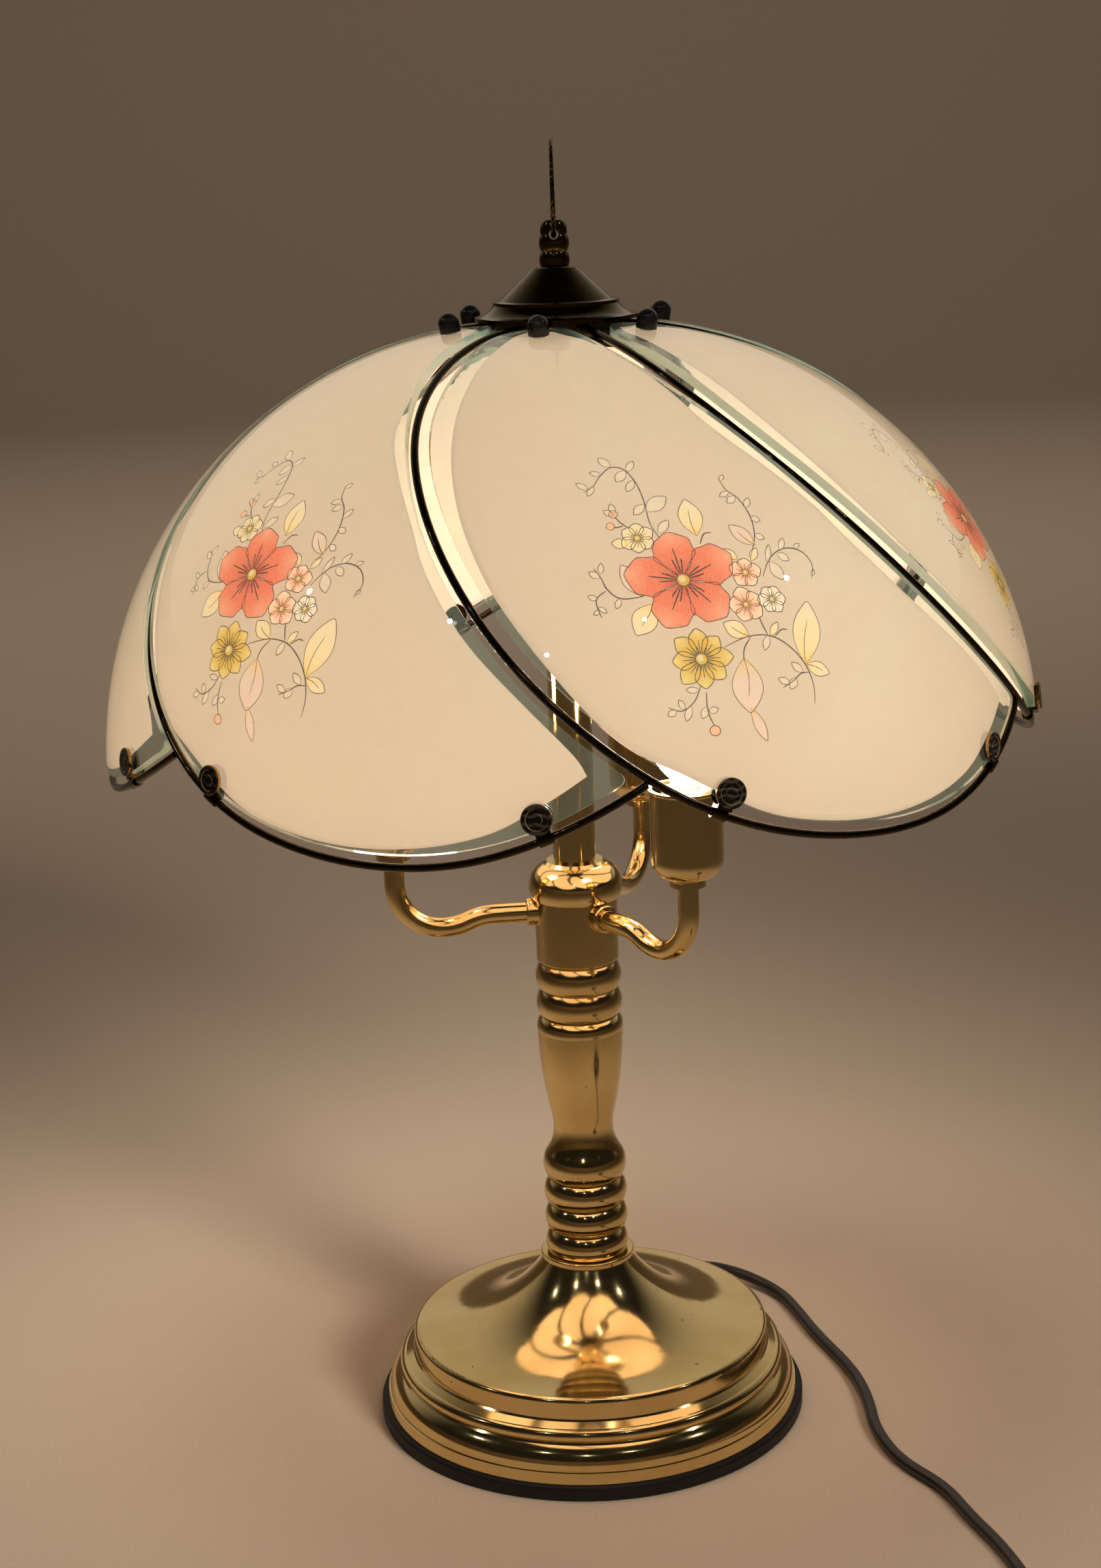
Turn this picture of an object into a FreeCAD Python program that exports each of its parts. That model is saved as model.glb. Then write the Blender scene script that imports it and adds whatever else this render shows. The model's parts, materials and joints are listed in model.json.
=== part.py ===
import FreeCAD, Part
import math
import os
import Sketcher
from FreeCAD import Placement, Rotation, Vector

# Tulip shade table lamp. Millimetres, +Z up, origin at the middle of the base's
# underside. Azimuths count from the lamp's front (-Y) and grow towards +X.

# ---------------------------------------------------------------- sizes

SIZES = (
    # base
    ("base_radius", 100.0, "outer radius of the rubber edge ring"),
    ("edge_ring_height", 7.0, "height of the rubber edge ring"),
    ("edge_ring_width", 12.0, "width of the rubber edge ring"),
    ("skirt_inset", 2.5, "how far the brass skirt stands inside the ring's outer side"),
    ("skirt_lip", 5.0, "height of the skirt's lowest band"),
    ("lip_taper", 0.9, "taper of the skirt's lowest band"),
    ("lobe_inset", 1.6, "how far the large lobe's foot lies inside the skirt"),
    ("lobe_radius", 11.5, "radius of the skirt's large lobe"),
    ("lobe_rise", 10.4, "height of the large lobe"),
    ("lobe_depth", 5.4, "how far the large lobe runs inwards"),
    ("bead_gap", 0.8, "height of the groove between the lobe and the bead"),
    ("bead_rise", 5.6, "height of the skirt's upper bead"),
    ("bead_depth", 2.6, "how far the upper bead runs inwards"),
    ("bead_radius", 3.4, "radius of the upper bead"),
    ("neck_rise", 1.8, "height of the slope from the bead to the ledge under the rim"),
    ("rim_inset", 14.1, "how far the dished top's rim lies inside the skirt"),
    ("rim_band", 10.4, "height of the rim over the ledge"),
    ("rim_round", 2.4, "radius of the rim's rounded edge"),
    ("dish_rise", 33.0, "how far the dished top rises from its rim to the column"),
    ("foot_flat", 20.8, "radius of the flat that the column stands on"),
    ("shell_wall", 1.2, "wall of the spun base shell"),
    ("plate_inset", 3.5, "how far the steel bottom plate's edge lies inside the skirt"),
    ("plate_wall", 1.2, "thickness of the bottom plate"),
    ("weight_inset", 53.5, "how far the cast weight's side lies inside the skirt"),
    ("weight_height", 22.0, "height of the cast weight"),
    ("module_length", 44.0, "length of the touch module"),
    ("module_width", 26.0, "width of the touch module"),
    ("module_height", 18.0, "height of the touch module"),
    ("module_round", 2.0, "rounding of the touch module's upright edges"),
    ("module_inset", 34.5, "how far the touch module's middle lies inside the skirt"),
    # rod through the column
    ("rod_radius", 4.8, "radius of the threaded lamp rod"),
    ("rod_reach", 2.7, "how far the rod reaches over the hub's crown to its stud"),
    ("stud_radius", 3.0, "radius of the stud at the rod's top"),
    ("stud_reach", 10.0, "how far the stud reaches into the knob"),
    ("nut_flat", 8.5, "half the width across flats of the rod's hex nut"),
    ("nut_height", 4.5, "height of the rod's hex nut"),
    ("washer_radius", 11.0, "radius of the rod's washer"),
    ("washer_wall", 1.0, "thickness of the rod's washer"),
    ("running_gap", 0.3, "clearance between pieces that turn on each other"),
    ("fit_gap", 0.1, "clearance of pieces that are fixed together"),
    # column
    ("spindle_bore", 12.5, "bore of the hollow column pieces"),
    ("foot_collar_radius", 21.8, "radius of the collar at the column's foot"),
    ("foot_collar_height", 3.2, "height of the collar at the column's foot"),
    ("lobe_ring_radius", 19.4, "radius of the column's ring lobes"),
    ("groove_radius", 16.7, "radius of the column's grooves"),
    ("first_lobe_height", 10.6, "visible height of the lowest ring lobe"),
    ("lower_lobe_pitch", 12.75, "height of one of the next two ring lobes"),
    ("bulge_height", 25.6, "height of the bulge under the waist"),
    ("bulge_knee", 13.7, "height of the bulge's convex part"),
    ("bulge_arc", 11.4, "radius of the bulge's convex part"),
    ("waist_radius", 13.9, "radius of the waist"),
    ("vase_radius", 19.7, "largest radius of the vase"),
    ("vase_height", 54.2, "height of the vase above the waist"),
    ("vase_flare", 7.6, "height of the vase's concave foot"),
    ("vase_flare_width", 1.0, "how far the vase's concave foot spreads"),
    ("vase_arc", 200.0, "radius of the vase's long flank"),
    ("vase_shoulder", 6.6, "height of the vase's shoulder"),
    ("upper_groove_radius", 17.5, "radius of the grooves above the vase"),
    ("upper_lobe_pitch", 12.9, "height of one of the two upper ring lobes"),
    ("body_radius", 18.85, "radius of the cylinder that carries the arms"),
    ("body_height", 31.0, "height of the cylinder that carries the arms"),
    ("body_wall", 1.6, "wall of the cylinder that carries the arms"),
    ("body_floor", 2.0, "thickness of that cylinder's floor"),
    ("cap_bulge_radius", 21.0, "radius of the bulged cap on the cylinder"),
    ("cap_bulge_height", 15.6, "height of the bulged cap"),
    ("cap_bulge_arc", 11.4, "radius of the cap's bulged flank"),
    ("cap_shoulder", 6.8, "how far the cap's shoulder lies inside its bulge"),
    ("cap_lip", 1.4, "height of the flat lip that the stem stands on"),
    ("cap_roof", 6.0, "thickness of the bulged cap's roof"),
    ("cap_ledge", 3.0, "width of the ledge with which the cap lies on the cylinder"),
    ("stem_radius", 9.64, "radius of the stem tube"),
    ("stem_wall", 1.0, "wall of the stem tube"),
    # arms
    ("arm_count", 3.0, "number of arms"),
    ("arm_azimuth", 36.0, "azimuth of the first arm"),
    ("arm_reach", 82.0, "distance of the bulbs from the axis"),
    ("arm_rise", 24.4, "height at which the arms leave their cylinder"),
    ("arm_radius", 4.6, "radius of the arm tube"),
    ("arm_bore", 3.5, "inner radius of the arm tube"),
    ("arm_drop", 4.8, "how far the S bend drops"),
    ("arm_s_radius", 28.7, "radius of the S bend's two arcs"),
    ("arm_elbow", 21.5, "radius of the elbow that turns the arm up"),
    ("arm_root", 7.0, "how far the arm reaches inside the cylinder's outer side"),
    ("arm_nut_wall", 1.6, "wall of the nut on the arm's root"),
    ("arm_nut_height", 3.4, "height of the nut on the arm's root"),
    ("rosette_radius", 6.5, "radius of the rosette where the arm meets the column"),
    ("rosette_height", 4.2, "length of the rosette along the arm"),
    ("rosette_round", 1.2, "rounding of the rosette"),
    ("collar_radius", 7.8, "radius of the collar under the socket cup"),
    ("collar_height", 3.2, "height of the collar under the socket cup"),
    ("cup_rise", 32.3, "height of the socket cup's underside over the arm's root"),
    ("cup_radius", 15.6, "radius of the socket cup"),
    ("cup_height", 40.0, "height of the socket cup"),
    ("cup_round", 9.0, "rounding of the cup's bottom"),
    ("cup_wall", 1.0, "wall of the socket cup"),
    ("cup_lip", 1.6, "height of the cup's rolled lip"),
    ("socket_radius", 10.5, "radius of the lamp socket"),
    ("socket_height", 39.0, "height of the lamp socket"),
    ("socket_bevel", 2.6, "height of the bevel at the socket's foot"),
    ("bulb_cap_radius", 5.95, "radius of the bulb's screw cap"),
    ("bulb_cap_height", 21.0, "height of the bulb's screw cap"),
    ("bulb_cap_bevel", 2.5, "bevel at the foot of the bulb's screw cap"),
    ("bulb_radius", 17.5, "largest radius of the candle bulb"),
    ("bulb_neck_radius", 6.6, "radius of the bulb's neck"),
    ("bulb_height", 78.0, "height of the bulb's glass"),
    ("bulb_belly", 27.0, "height of the bulb's widest place over its neck"),
    ("bulb_wall", 0.8, "wall of the bulb's glass"),
    ("bulb_collar", 3.0, "height of the straight collar at the bulb's neck"),
    ("bulb_tip_radius", 2.2, "radius where the bulb's rounded tip starts"),
    ("bulb_tip_height", 2.5, "height of the bulb's rounded tip"),
    ("bulb_lift", 1.4, "how far the bulb's glass stays above its socket"),
    # shade
    ("petal_count", 6.0, "number of petals"),
    ("shade_rise", 101.1, "height of the dome arc's centre over the arms' cylinder"),
    ("shade_centre_radius", 16.0, "distance of the dome arc's centre from the axis"),
    ("shade_arc", 187.0, "radius of the dome arc on which the wires run"),
    ("wire_radius", 1.6, "radius of the petal wires"),
    ("glass_wall", 4.0, "thickness of the glass"),
    ("glass_rise", 1.0, "how far the glass stands out of the wires' dome"),
    ("pinwheel_shift", 3.0, "sideways shift of a pane, so its left edge stands out"),
    ("pinwheel_azimuth", -20.0, "azimuth of that shift within a petal"),
    ("top_gap", 7.5, "gap from wire to glass edge near the crown"),
    ("foot_gap", 4.6, "gap from wire to glass edge at the petal's foot"),
    ("right_gap", 3.6, "gap from the next wire to the glass edge"),
    ("corner_round", 5.0, "rounding of the glass at the petal's corner"),
    ("pane_top_radius", 31.0, "distance of the pane's top end from the axis"),
    ("pane_top_width", 34.0, "width of the pane at its screw"),
    ("screw_ring", 47.3, "distance of the pane screws from the axis"),
    ("screw_azimuth", -9.0, "azimuth of a petal's screw within the petal"),
    ("pane_hole", 2.6, "radius of the hole in the pane"),
    ("crown_radius", 28.5, "radius of the hub's crown"),
    ("crown_rise", 189.3, "height of the crown's top over the dome arc's centre"),
    ("crown_depth", 11.0, "height of the crown"),
    ("hub_radius", 55.0, "radius of the hub's dish at its fingers' ends"),
    ("hub_wall", 2.0, "thickness of the hub's dish"),
    ("hub_notch", 20.0, "radius of the notches that leave the hub's six fingers"),
    ("hub_notch_ring", 60.0, "distance of the notches' middles from the axis"),
    ("sleeve_radius", 8.0, "radius of the hub's sleeve under the cap"),
    ("pad_wall", 1.7, "thickness of the rubber pad under a pane"),
    ("pad_radius", 6.0, "radius of the rubber pad under a pane"),
    ("acorn_radius", 4.5, "radius of the acorn nuts"),
    ("acorn_height", 8.4, "height of the acorn nuts"),
    ("screw_radius", 2.0, "radius of the pane screws"),
    ("screw_head_radius", 3.8, "radius of the pane screw's head"),
    ("screw_head_height", 2.2, "height of the pane screw's head"),
    ("clip_disc_radius", 6.0, "radius of the clip's medallion"),
    ("clip_disc_wall", 1.6, "thickness of the clip's medallion"),
    ("clip_reach", 8.6, "distance of the medallion's centre from the wire"),
    ("clip_tab_width", 6.0, "width of the clip's tab"),
    ("clip_strap", 0.8, "thickness of the clip's strap"),
    ("clip_riser", 1.4, "width of the strap's upright part beside the wire"),
    ("clip_overlap", 2.0, "how far the strap reaches under the medallion's centre"),
    ("clip_left", 15.6, "azimuth of the petal's left clip"),
    ("clip_right", 57.0, "azimuth of the petal's right clip"),
    # cap and finial
    ("cap_rim_radius", 35.2, "radius of the cap's rim"),
    ("cap_overlap", 0.4, "how far the cap's rim reaches below the crown's top"),
    ("cap_rim_band", 1.6, "height of the band at the cap's rim"),
    ("cap_flare_radius", 27.2, "radius where the cap's flare starts"),
    ("cap_flare_rise", 6.5, "height of the cap's flare over its rim"),
    ("cap_flare_depth", 1.3, "depth of the flare's hollow"),
    ("cap_cone_radius", 24.1, "radius of the cap's cone at its foot"),
    ("cap_cone_rise", 8.3, "height of the cone's foot over the cap's rim"),
    ("cap_top_radius", 10.4, "radius of the cap's top"),
    ("cap_height", 21.7, "height of the cap"),
    ("cap_wall", 1.2, "wall of the cap"),
    ("knob_radius", 6.5, "radius of the finial knob"),
    ("knob_groove_radius", 5.7, "radius of the knob's grooves"),
    ("knob_height", 19.6, "height of the knob"),
    ("knob_lower_groove", 6.4, "height of the lower groove on the knob"),
    ("knob_upper_groove", 13.6, "height of the upper groove, where the ring passes"),
    ("ring_wire_radius", 1.2, "radius of the finial ring's twisted wire"),
    ("ring_radius", 20.0, "radius of the finial ring at its wire's middle"),
    ("ring_hole_radius", 2.1, "radius of the ring's hole through the knob"),
    ("ring_sag", 0.5, "how far the ring's wire hangs below the middle of its hole"),
    # mains cord
    ("cord_radius", 2.8, "radius of the mains cord"),
    ("cord_exit_azimuth", 155.0, "azimuth at which the cord leaves the base"),
    ("cord_exit_height", 16.0, "height at which the cord leaves the base"),
    ("bushing_radius", 4.6, "radius of the cord bushing at the base"),
    ("bushing_waist", 0.6, "how much narrower the bushing is where it passes the skirt"),
    ("bushing_flange", 1.6, "width of the bushing's flange"),
    ("bushing_flange_wall", 2.0, "thickness of the bushing's flange"),
    ("bushing_length", 12.0, "length of the cord bushing outside the base"),
    ("bushing_root", 7.0, "length of the cord bushing inside the base"),
    ("coil_radius", 31.0, "middle radius of the stored coil's turns"),
    ("coil_width", 22.7, "width of the bundle of turns"),
    ("coil_height", 11.4, "height of the bundle of turns"),
    ("coil_round", 2.8, "rounding of the bundle of turns"),
    ("coil_x", 220.0, "place of the coil, X"),
    ("coil_y", -236.0, "place of the coil, Y"),
    ("plug_across", 9.0, "place of the plug's middle from the coil's, X"),
    ("plug_along", -33.0, "place of the plug's middle from the coil's, Y"),
    ("plug_length", 30.0, "length of the plug's body"),
    ("plug_tail", 9.0, "length of the plug's tapered tail"),
    ("plug_width", 18.0, "width of the plug's body"),
    ("plug_taper", 0.6, "share of its width that the plug has at its back"),
    ("plug_height", 13.0, "height of the plug's body"),
    ("blade_spacing", 12.7, "distance between the plug's blades"),
    ("blade_length", 16.0, "length of the plug's blades"),
    ("blade_width", 6.3, "width of the plug's blades"),
    ("blade_wall", 1.5, "thickness of the plug's blades"),
)

# The mains cord's route, from inside its bushing to the coil, with its height over the table.
CORD_ROUTE = (
    (42.3, 90.6, 16.0), (48.7, 104.4, 15.7), (61.2, 113.4, 13.2), (75.9, 115.3, 8.6),
    (90.2, 109.3, 4.4), (99.8, 96.5, 3.0), (105.2, 78.6, 2.9), (112.4, 50.5, 2.9),
    (125.8, 13.0, 2.9), (130.0, -18.5, 2.9), (129.3, -46.5, 2.9), (136.9, -77.0, 2.9),
    (153.7, -100.5, 2.9), (160.7, -126.0, 2.9), (169.4, -149.0, 2.9), (175.2, -173.0, 2.9),
    (178.9, -195.0, 2.9), (180.6, -214.0, 2.9), (180.4, -232.0, 2.9),
)

# The line of a petal wire on the dome, from the crown to its weld on the next wire:
# azimuth within the petal and elevation seen from the dome's focus, in degrees.
WIRE_LINE = (
    (-34.0, 81.5), (-37.0, 76.0), (-35.2, 68.0), (-28.0, 52.0), (-18.2, 36.8), (-8.2, 24.0),
    (3.0, 13.2), (16.0, 4.9), (31.5, 0.6), (48.0, 0.8), (61.5, 5.4), (68.0, 8.8),
)
# The middle of a pane seen from the dome's focus: azimuth within the petal, elevation.
PANE_MIDDLE_ANGLES = (22.0, 36.0)
# The elevations between which a dome of glass is made, out of which a pane is cut.
DOME_SWEEP_ANGLES = (-8.0, 87.0)
# Where the block that cuts out a pane starts and ends, as shares of the dome's radius.
PANE_BLOCK_SHARES = (0.45, 1.12)
# A small chamfer or step on turned corners.
EDGE = 0.8


class Size:
    """A value together with the expression that gives it from the size sheet."""

    def __init__(self, value, text):
        self.value = value
        self.text = text

    @staticmethod
    def of(other):
        return other if isinstance(other, Size) else Size(float(other), repr(float(other)))

    def __add__(self, other):
        other = Size.of(other)
        return Size(self.value + other.value, f"({self.text} + {other.text})")

    def __sub__(self, other):
        other = Size.of(other)
        return Size(self.value - other.value, f"({self.text} - {other.text})")

    def __mul__(self, other):
        other = Size.of(other)
        return Size(self.value * other.value, f"({self.text} * {other.text})")

    def __truediv__(self, other):
        other = Size.of(other)
        return Size(self.value / other.value, f"({self.text} / {other.text})")

    def __neg__(self):
        return Size(-self.value, f"(0 - {self.text})")

    def __radd__(self, other):
        return Size.of(other) + self

    def __rsub__(self, other):
        return Size.of(other) - self

    def __rmul__(self, other):
        return Size.of(other) * self

    def root(self):
        return Size(math.sqrt(self.value), f"sqrt({self.text})")


class Sheet:
    """The document's spreadsheet; each size is read as an attribute."""

    def __init__(self, document, sizes):
        self.cells = document.addObject("Spreadsheet::Sheet", "Sizes")
        for row, (name, value, note) in enumerate(sizes, start=1):
            self.cells.set(f"A{row}", name)
            self.cells.set(f"B{row}", str(value))
            self.cells.set(f"C{row}", note)
            self.cells.setAlias(f"B{row}", name)
        document.recompute()

    def __getattr__(self, name):
        return Size(float(self.cells.get(name)), f"Sizes.{name}")


doc = FreeCAD.newDocument("tulip_lamp")
s = Sheet(doc, SIZES)
parts = []


def keep(item, label):
    """Label a finished sub-part and list it for export."""
    item.Label = label
    parts.append(item)
    return item


# ---------------------------------------------------------------- builders

def origin_item(body, role):
    return next(f for f in body.Origin.OriginFeatures if f.Role == role)


def arc_between(start, end, radius):
    """The minor arc from start to end; a positive radius turns left, a negative right."""
    chord = end - start
    middle = (start + end) * 0.5
    rise = math.sqrt(max(radius * radius - chord.Length ** 2 / 4, 0.0))
    left = Vector(-chord.y, chord.x, 0).normalize()
    centre = middle + left * (rise if radius > 0 else -rise)
    first, last = (start, end) if radius > 0 else (end, start)
    angles = [math.atan2(p.y - centre.y, p.x - centre.x) for p in (first, last)]
    if angles[1] < angles[0]:
        angles[1] += 2 * math.pi
    circle = Part.Circle(centre, Vector(0, 0, 1), abs(radius))
    return Part.ArcOfCircle(circle, angles[0], angles[1])


def draw_outline(sketch, points, closed=True):
    """Draw lines and arcs through points, each bound to the sheet.

    A point is (x, y) or (x, y, radius): the radius makes the stretch that follows it an
    arc, turning left when positive and right when negative.
    """
    spots = [Vector(Size.of(p[0]).value, Size.of(p[1]).value, 0) for p in points]
    count = len(points) if closed else len(points) - 1
    ends = []
    for i in range(count):
        start, end = spots[i], spots[(i + 1) % len(spots)]
        radius = Size.of(points[i][2]) if len(points[i]) > 2 else None
        if radius is None:
            geo = sketch.addGeometry(Part.LineSegment(start, end), False)
            ends.append((geo, 1, 2))
            continue
        geo = sketch.addGeometry(arc_between(start, end, radius.value), False)
        ends.append((geo, 1, 2) if radius.value > 0 else (geo, 2, 1))
        index = sketch.addConstraint(Sketcher.Constraint("Radius", geo, abs(radius.value)))
        sketch.setExpression(f"Constraints[{index}]", f"abs({radius.text})")
    for i in range(count if closed else count - 1):
        this, following = ends[i], ends[(i + 1) % count]
        sketch.addConstraint(Sketcher.Constraint("Coincident", this[0], this[2],
                                                 following[0], following[1]))
    for i, point in enumerate(points):
        geo, place = (ends[i][0], ends[i][1]) if i < count else (ends[-1][0], ends[-1][2])
        for axis, kind in enumerate(("DistanceX", "DistanceY")):
            size = Size.of(point[axis])
            if abs(size.value) < 1e-9:
                sketch.addConstraint(Sketcher.Constraint("PointOnObject", geo, place, -2 + axis))
                continue
            if size.value > 0:
                datum = Sketcher.Constraint(kind, -1, 1, geo, place, size.value)
            else:
                size = -size
                datum = Sketcher.Constraint(kind, geo, place, -1, 1, size.value)
            index = sketch.addConstraint(datum)
            sketch.setExpression(f"Constraints[{index}]", size.text)


def new_sketch(body, role, name, offset=None):
    sketch = body.newObject("Sketcher::SketchObject", name)
    sketch.AttachmentSupport = [(origin_item(body, role), "")]
    sketch.MapMode = "FlatFace"
    if offset is not None:
        sketch.AttachmentOffset = Placement(Vector(0, 0, offset.value), Rotation())
        sketch.setExpression(".AttachmentOffset.Base.z", offset.text)
    return sketch


def new_body(name):
    body = doc.addObject("PartDesign::Body", name)
    body.Label = name
    return body


def turned(name, points):
    """A body turned about Z from an outline of (radius, height) points."""
    body = new_body(name)
    sketch = new_sketch(body, "XZ_Plane", name + "_outline")
    draw_outline(sketch, points)
    turn = body.newObject("PartDesign::Revolution", name + "_turn")
    turn.Profile = sketch
    turn.ReferenceAxis = (sketch, ["V_Axis"])
    turn.Angle = 360.0
    sketch.Visibility = False
    return body


def box_outline(left, low, right, high):
    return ((left, low), (right, low), (right, high), (left, high))


def mixed_copies(name, pairs):
    """One node of separate pieces, each a link to its template at its own placement."""
    links = []
    for index, (template, placement) in enumerate(pairs, start=1):
        link = doc.addObject("App::Link", f"{name}_{index}")
        link.LinkedObject = template
        link.LinkPlacement = placement
        links.append(link)
    group = doc.addObject("Part::Compound", name)
    group.Links = links
    return group


def copies(name, template, placements):
    """One node of separate, equal pieces."""
    return mixed_copies(name, [(template, placement) for placement in placements])


def about_z(azimuth, at=Vector(0, 0, 0)):
    """Turn a piece that is modelled along +X to an azimuth, and move it there."""
    turn = Rotation(Vector(0, 0, 1), azimuth - 90)
    return Placement(turn.multVec(at), turn)


def arm_azimuths():
    count = int(s.arm_count.value)
    return [s.arm_azimuth.value + 360 / count * i for i in range(count)]


def petal_turns():
    count = int(s.petal_count.value)
    return [360 / count * i for i in range(count)]


def bulge_of(width, depth):
    """The radius of an arc whose chord and depth are given."""
    return (width * width / 4 + depth * depth) / (depth * 2)


def tangent_arc(across, along):
    """The radius of an arc that starts along the axis and ends so far across and along."""
    return (across * across + along * along) / (across * 2)


def primitive(kind, name, placement=Placement(), **sizes):
    """A Part primitive with its sizes bound to the sheet."""
    item = doc.addObject("Part::" + kind, name)
    for key, size in sizes.items():
        item.setExpression(key, Size.of(size).text)
    item.Placement = placement
    return item


def cut(name, base, tool):
    item = doc.addObject("Part::Cut", name)
    item.Base = base
    item.Tool = tool
    return item


def fuse(name, shapes):
    item = doc.addObject("Part::MultiFuse", name)
    item.Shapes = shapes
    return item


def solid_feature(name, shape):
    item = doc.addObject("Part::Feature", name)
    item.Shape = shape
    return item


ALONG_X = Placement(Vector(), Rotation(Vector(0, 1, 0), 90))
ALONG_Y = Placement(Vector(), Rotation(Vector(1, 0, 0), -90))


# ---------------------------------------------------------------- base

def skirt_radius():
    """The radius of the brass skirt where it stands on the ring."""
    return s.base_radius - s.skirt_inset


def lip_top():
    return s.edge_ring_height + s.skirt_lip


def bead_foot():
    return lip_top() + s.lobe_rise + s.bead_gap


def rim_height():
    return bead_foot() + s.bead_rise + s.neck_rise + s.rim_band


def column_foot():
    """The height of the dished top's flat, on which the column stands."""
    return rim_height() + s.dish_rise


def base_shell_blank():
    """The spun skirt, rim and dished top, and the wall's inner side."""
    wall = s.shell_wall
    skirt = skirt_radius()
    lobe_foot = skirt - s.lobe_inset
    lobe_end = lobe_foot - s.lobe_depth
    lobe_top = lip_top() + s.lobe_rise
    bead_end = lobe_end - s.bead_depth
    bead_top = bead_foot() + s.bead_rise
    ledge = bead_top + s.neck_rise
    rim = skirt - s.rim_inset
    dish = rim - s.rim_round
    dish_arc = tangent_arc(s.dish_rise, dish - s.foot_flat)
    crease = EDGE / 2
    bore = s.rod_radius + s.fit_gap
    outer = (
        (skirt, s.edge_ring_height),
        (skirt - s.lip_taper, lip_top()),
        (lobe_foot, lip_top() + crease / 2, s.lobe_radius),
        (lobe_end, lobe_top),
        (lobe_end - EDGE, bead_foot(), s.bead_radius),
        (bead_end - crease, bead_top),
        (rim + EDGE, ledge),
        (rim, ledge + EDGE),
        (rim, rim_height() - s.rim_round, s.rim_round),
        (dish, rim_height(), -dish_arc),
        (s.foot_flat, column_foot()),
        (bore, column_foot()),
    )
    inner = (
        (bore, column_foot() - wall),
        (s.foot_flat - wall, column_foot() - wall, dish_arc + wall),
        (dish, rim_height() - wall, -(s.rim_round - wall)),
        (rim - wall, rim_height() - s.rim_round),
        (rim - wall, ledge - wall),
        (bead_end - wall, bead_top - wall, -s.bead_radius),
        (lobe_end - wall - EDGE, bead_foot() - EDGE),
        (lobe_end - wall, lobe_top - wall, -s.lobe_radius),
        (lobe_foot - wall, lip_top()),
        (skirt - s.lip_taper - wall, lip_top() - wall),
        (skirt - wall, s.edge_ring_height),
    )
    return turned("base_shell_blank", outer + inner)


def cord_exit():
    """The placement of what is modelled along +X and leaves the base with the cord."""
    return about_z(s.cord_exit_azimuth.value, Vector(0, 0, s.cord_exit_height.value))


def bushing_neck():
    """The radius of the bushing where it passes the skirt."""
    return s.bushing_radius - s.bushing_waist


def cord_bushing():
    """The tapered strain relief, with its flange on the skirt's inner side."""
    root = skirt_radius() - s.lobe_depth - s.bushing_root
    end = skirt_radius() + s.bushing_length
    bore = s.cord_radius + s.fit_gap
    flange = s.bushing_radius + s.bushing_flange
    flange_top = root + s.bushing_flange_wall
    body = turned("cord_bushing", (
        (bore, root), (flange, root), (flange, flange_top), (bushing_neck(), flange_top),
        (bushing_neck(), skirt_radius()), (bore + EDGE, end), (bore, end)))
    body.Placement = cord_exit() * ALONG_X
    return body


def touch_module(low):
    """The dimmer's box, with its upright edges rounded."""
    body = new_body("touch_module")
    sketch = new_sketch(body, "XY_Plane", "touch_module_plan", low)
    half_width = s.module_width / 2
    half_length = s.module_length / 2
    middle = skirt_radius() - s.module_inset
    draw_outline(sketch, box_outline(middle - half_width, -half_length,
                                     middle + half_width, half_length))
    pad = body.newObject("PartDesign::Pad", "touch_module_block")
    pad.Profile = sketch
    pad.setExpression("Length", s.module_height.text)
    doc.recompute()
    rounding = body.newObject("PartDesign::Fillet", "touch_module_edges")
    upright = [f"Edge{i}" for i, edge in enumerate(pad.Shape.Edges, start=1)
               if abs(edge.tangentAt(edge.FirstParameter).z) > 0.9]
    rounding.Base = (pad, upright)
    rounding.Radius = s.module_round.value
    rounding.setExpression("Radius", s.module_round.text)
    body.Placement = about_z(-90)
    return body


def build_base():
    hole = primitive("Cylinder", "cord_hole", cord_exit() * ALONG_X,
                     Radius=bushing_neck() + s.fit_gap, Height=s.base_radius)
    keep(cut("base_shell_cut", base_shell_blank(), hole), "base_shell")
    ring_top = s.edge_ring_height
    ring_bore = s.base_radius - s.edge_ring_width
    ring_round = EDGE * 2
    keep(turned("edge_ring", (
        (ring_bore, 0.0), (s.base_radius - EDGE, 0.0), (s.base_radius, EDGE),
        (s.base_radius, ring_top - ring_round, ring_round),
        (s.base_radius - ring_round, ring_top), (ring_bore, ring_top))), "edge_ring")
    plate_top = ring_top + s.plate_wall
    keep(turned("bottom_plate", box_outline(
        s.rod_radius + s.fit_gap, ring_top, skirt_radius() - s.plate_inset, plate_top)),
        "bottom_plate")
    weight_top = plate_top + s.weight_height
    weight = skirt_radius() - s.weight_inset
    weight_break = EDGE * 4
    bore = s.rod_radius + s.running_gap
    keep(turned("base_weight", (
        (bore, plate_top), (weight, plate_top), (weight, weight_top - weight_break),
        (weight - weight_break, weight_top), (bore, weight_top))), "base_weight")
    keep(touch_module(plate_top), "touch_module")
    keep(cord_bushing(), "cord_bushing")


# ---------------------------------------------------------------- rod and column

def cap_rim_height():
    return crown_top() - s.cap_overlap


def cap_top_height():
    return cap_rim_height() + s.cap_height


def knob_foot():
    return cap_top_height() + s.running_gap


def nut_corner(across):
    """How far a hex nut's corners lie from its axis."""
    return across / math.cos(math.radians(30))


def hex_nut(name, across, low, height, bore):
    """A hex nut about Z; across is half its width across the flats."""
    block = primitive("Prism", name + "_block", Circumradius=nut_corner(across), Height=height)
    block.Polygon = 6
    hole = primitive("Cylinder", name + "_hole", Radius=bore, Height=height)
    for item in (block, hole):
        item.setExpression(".Placement.Base.z", low.text)
    return cut(name, block, hole)


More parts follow.
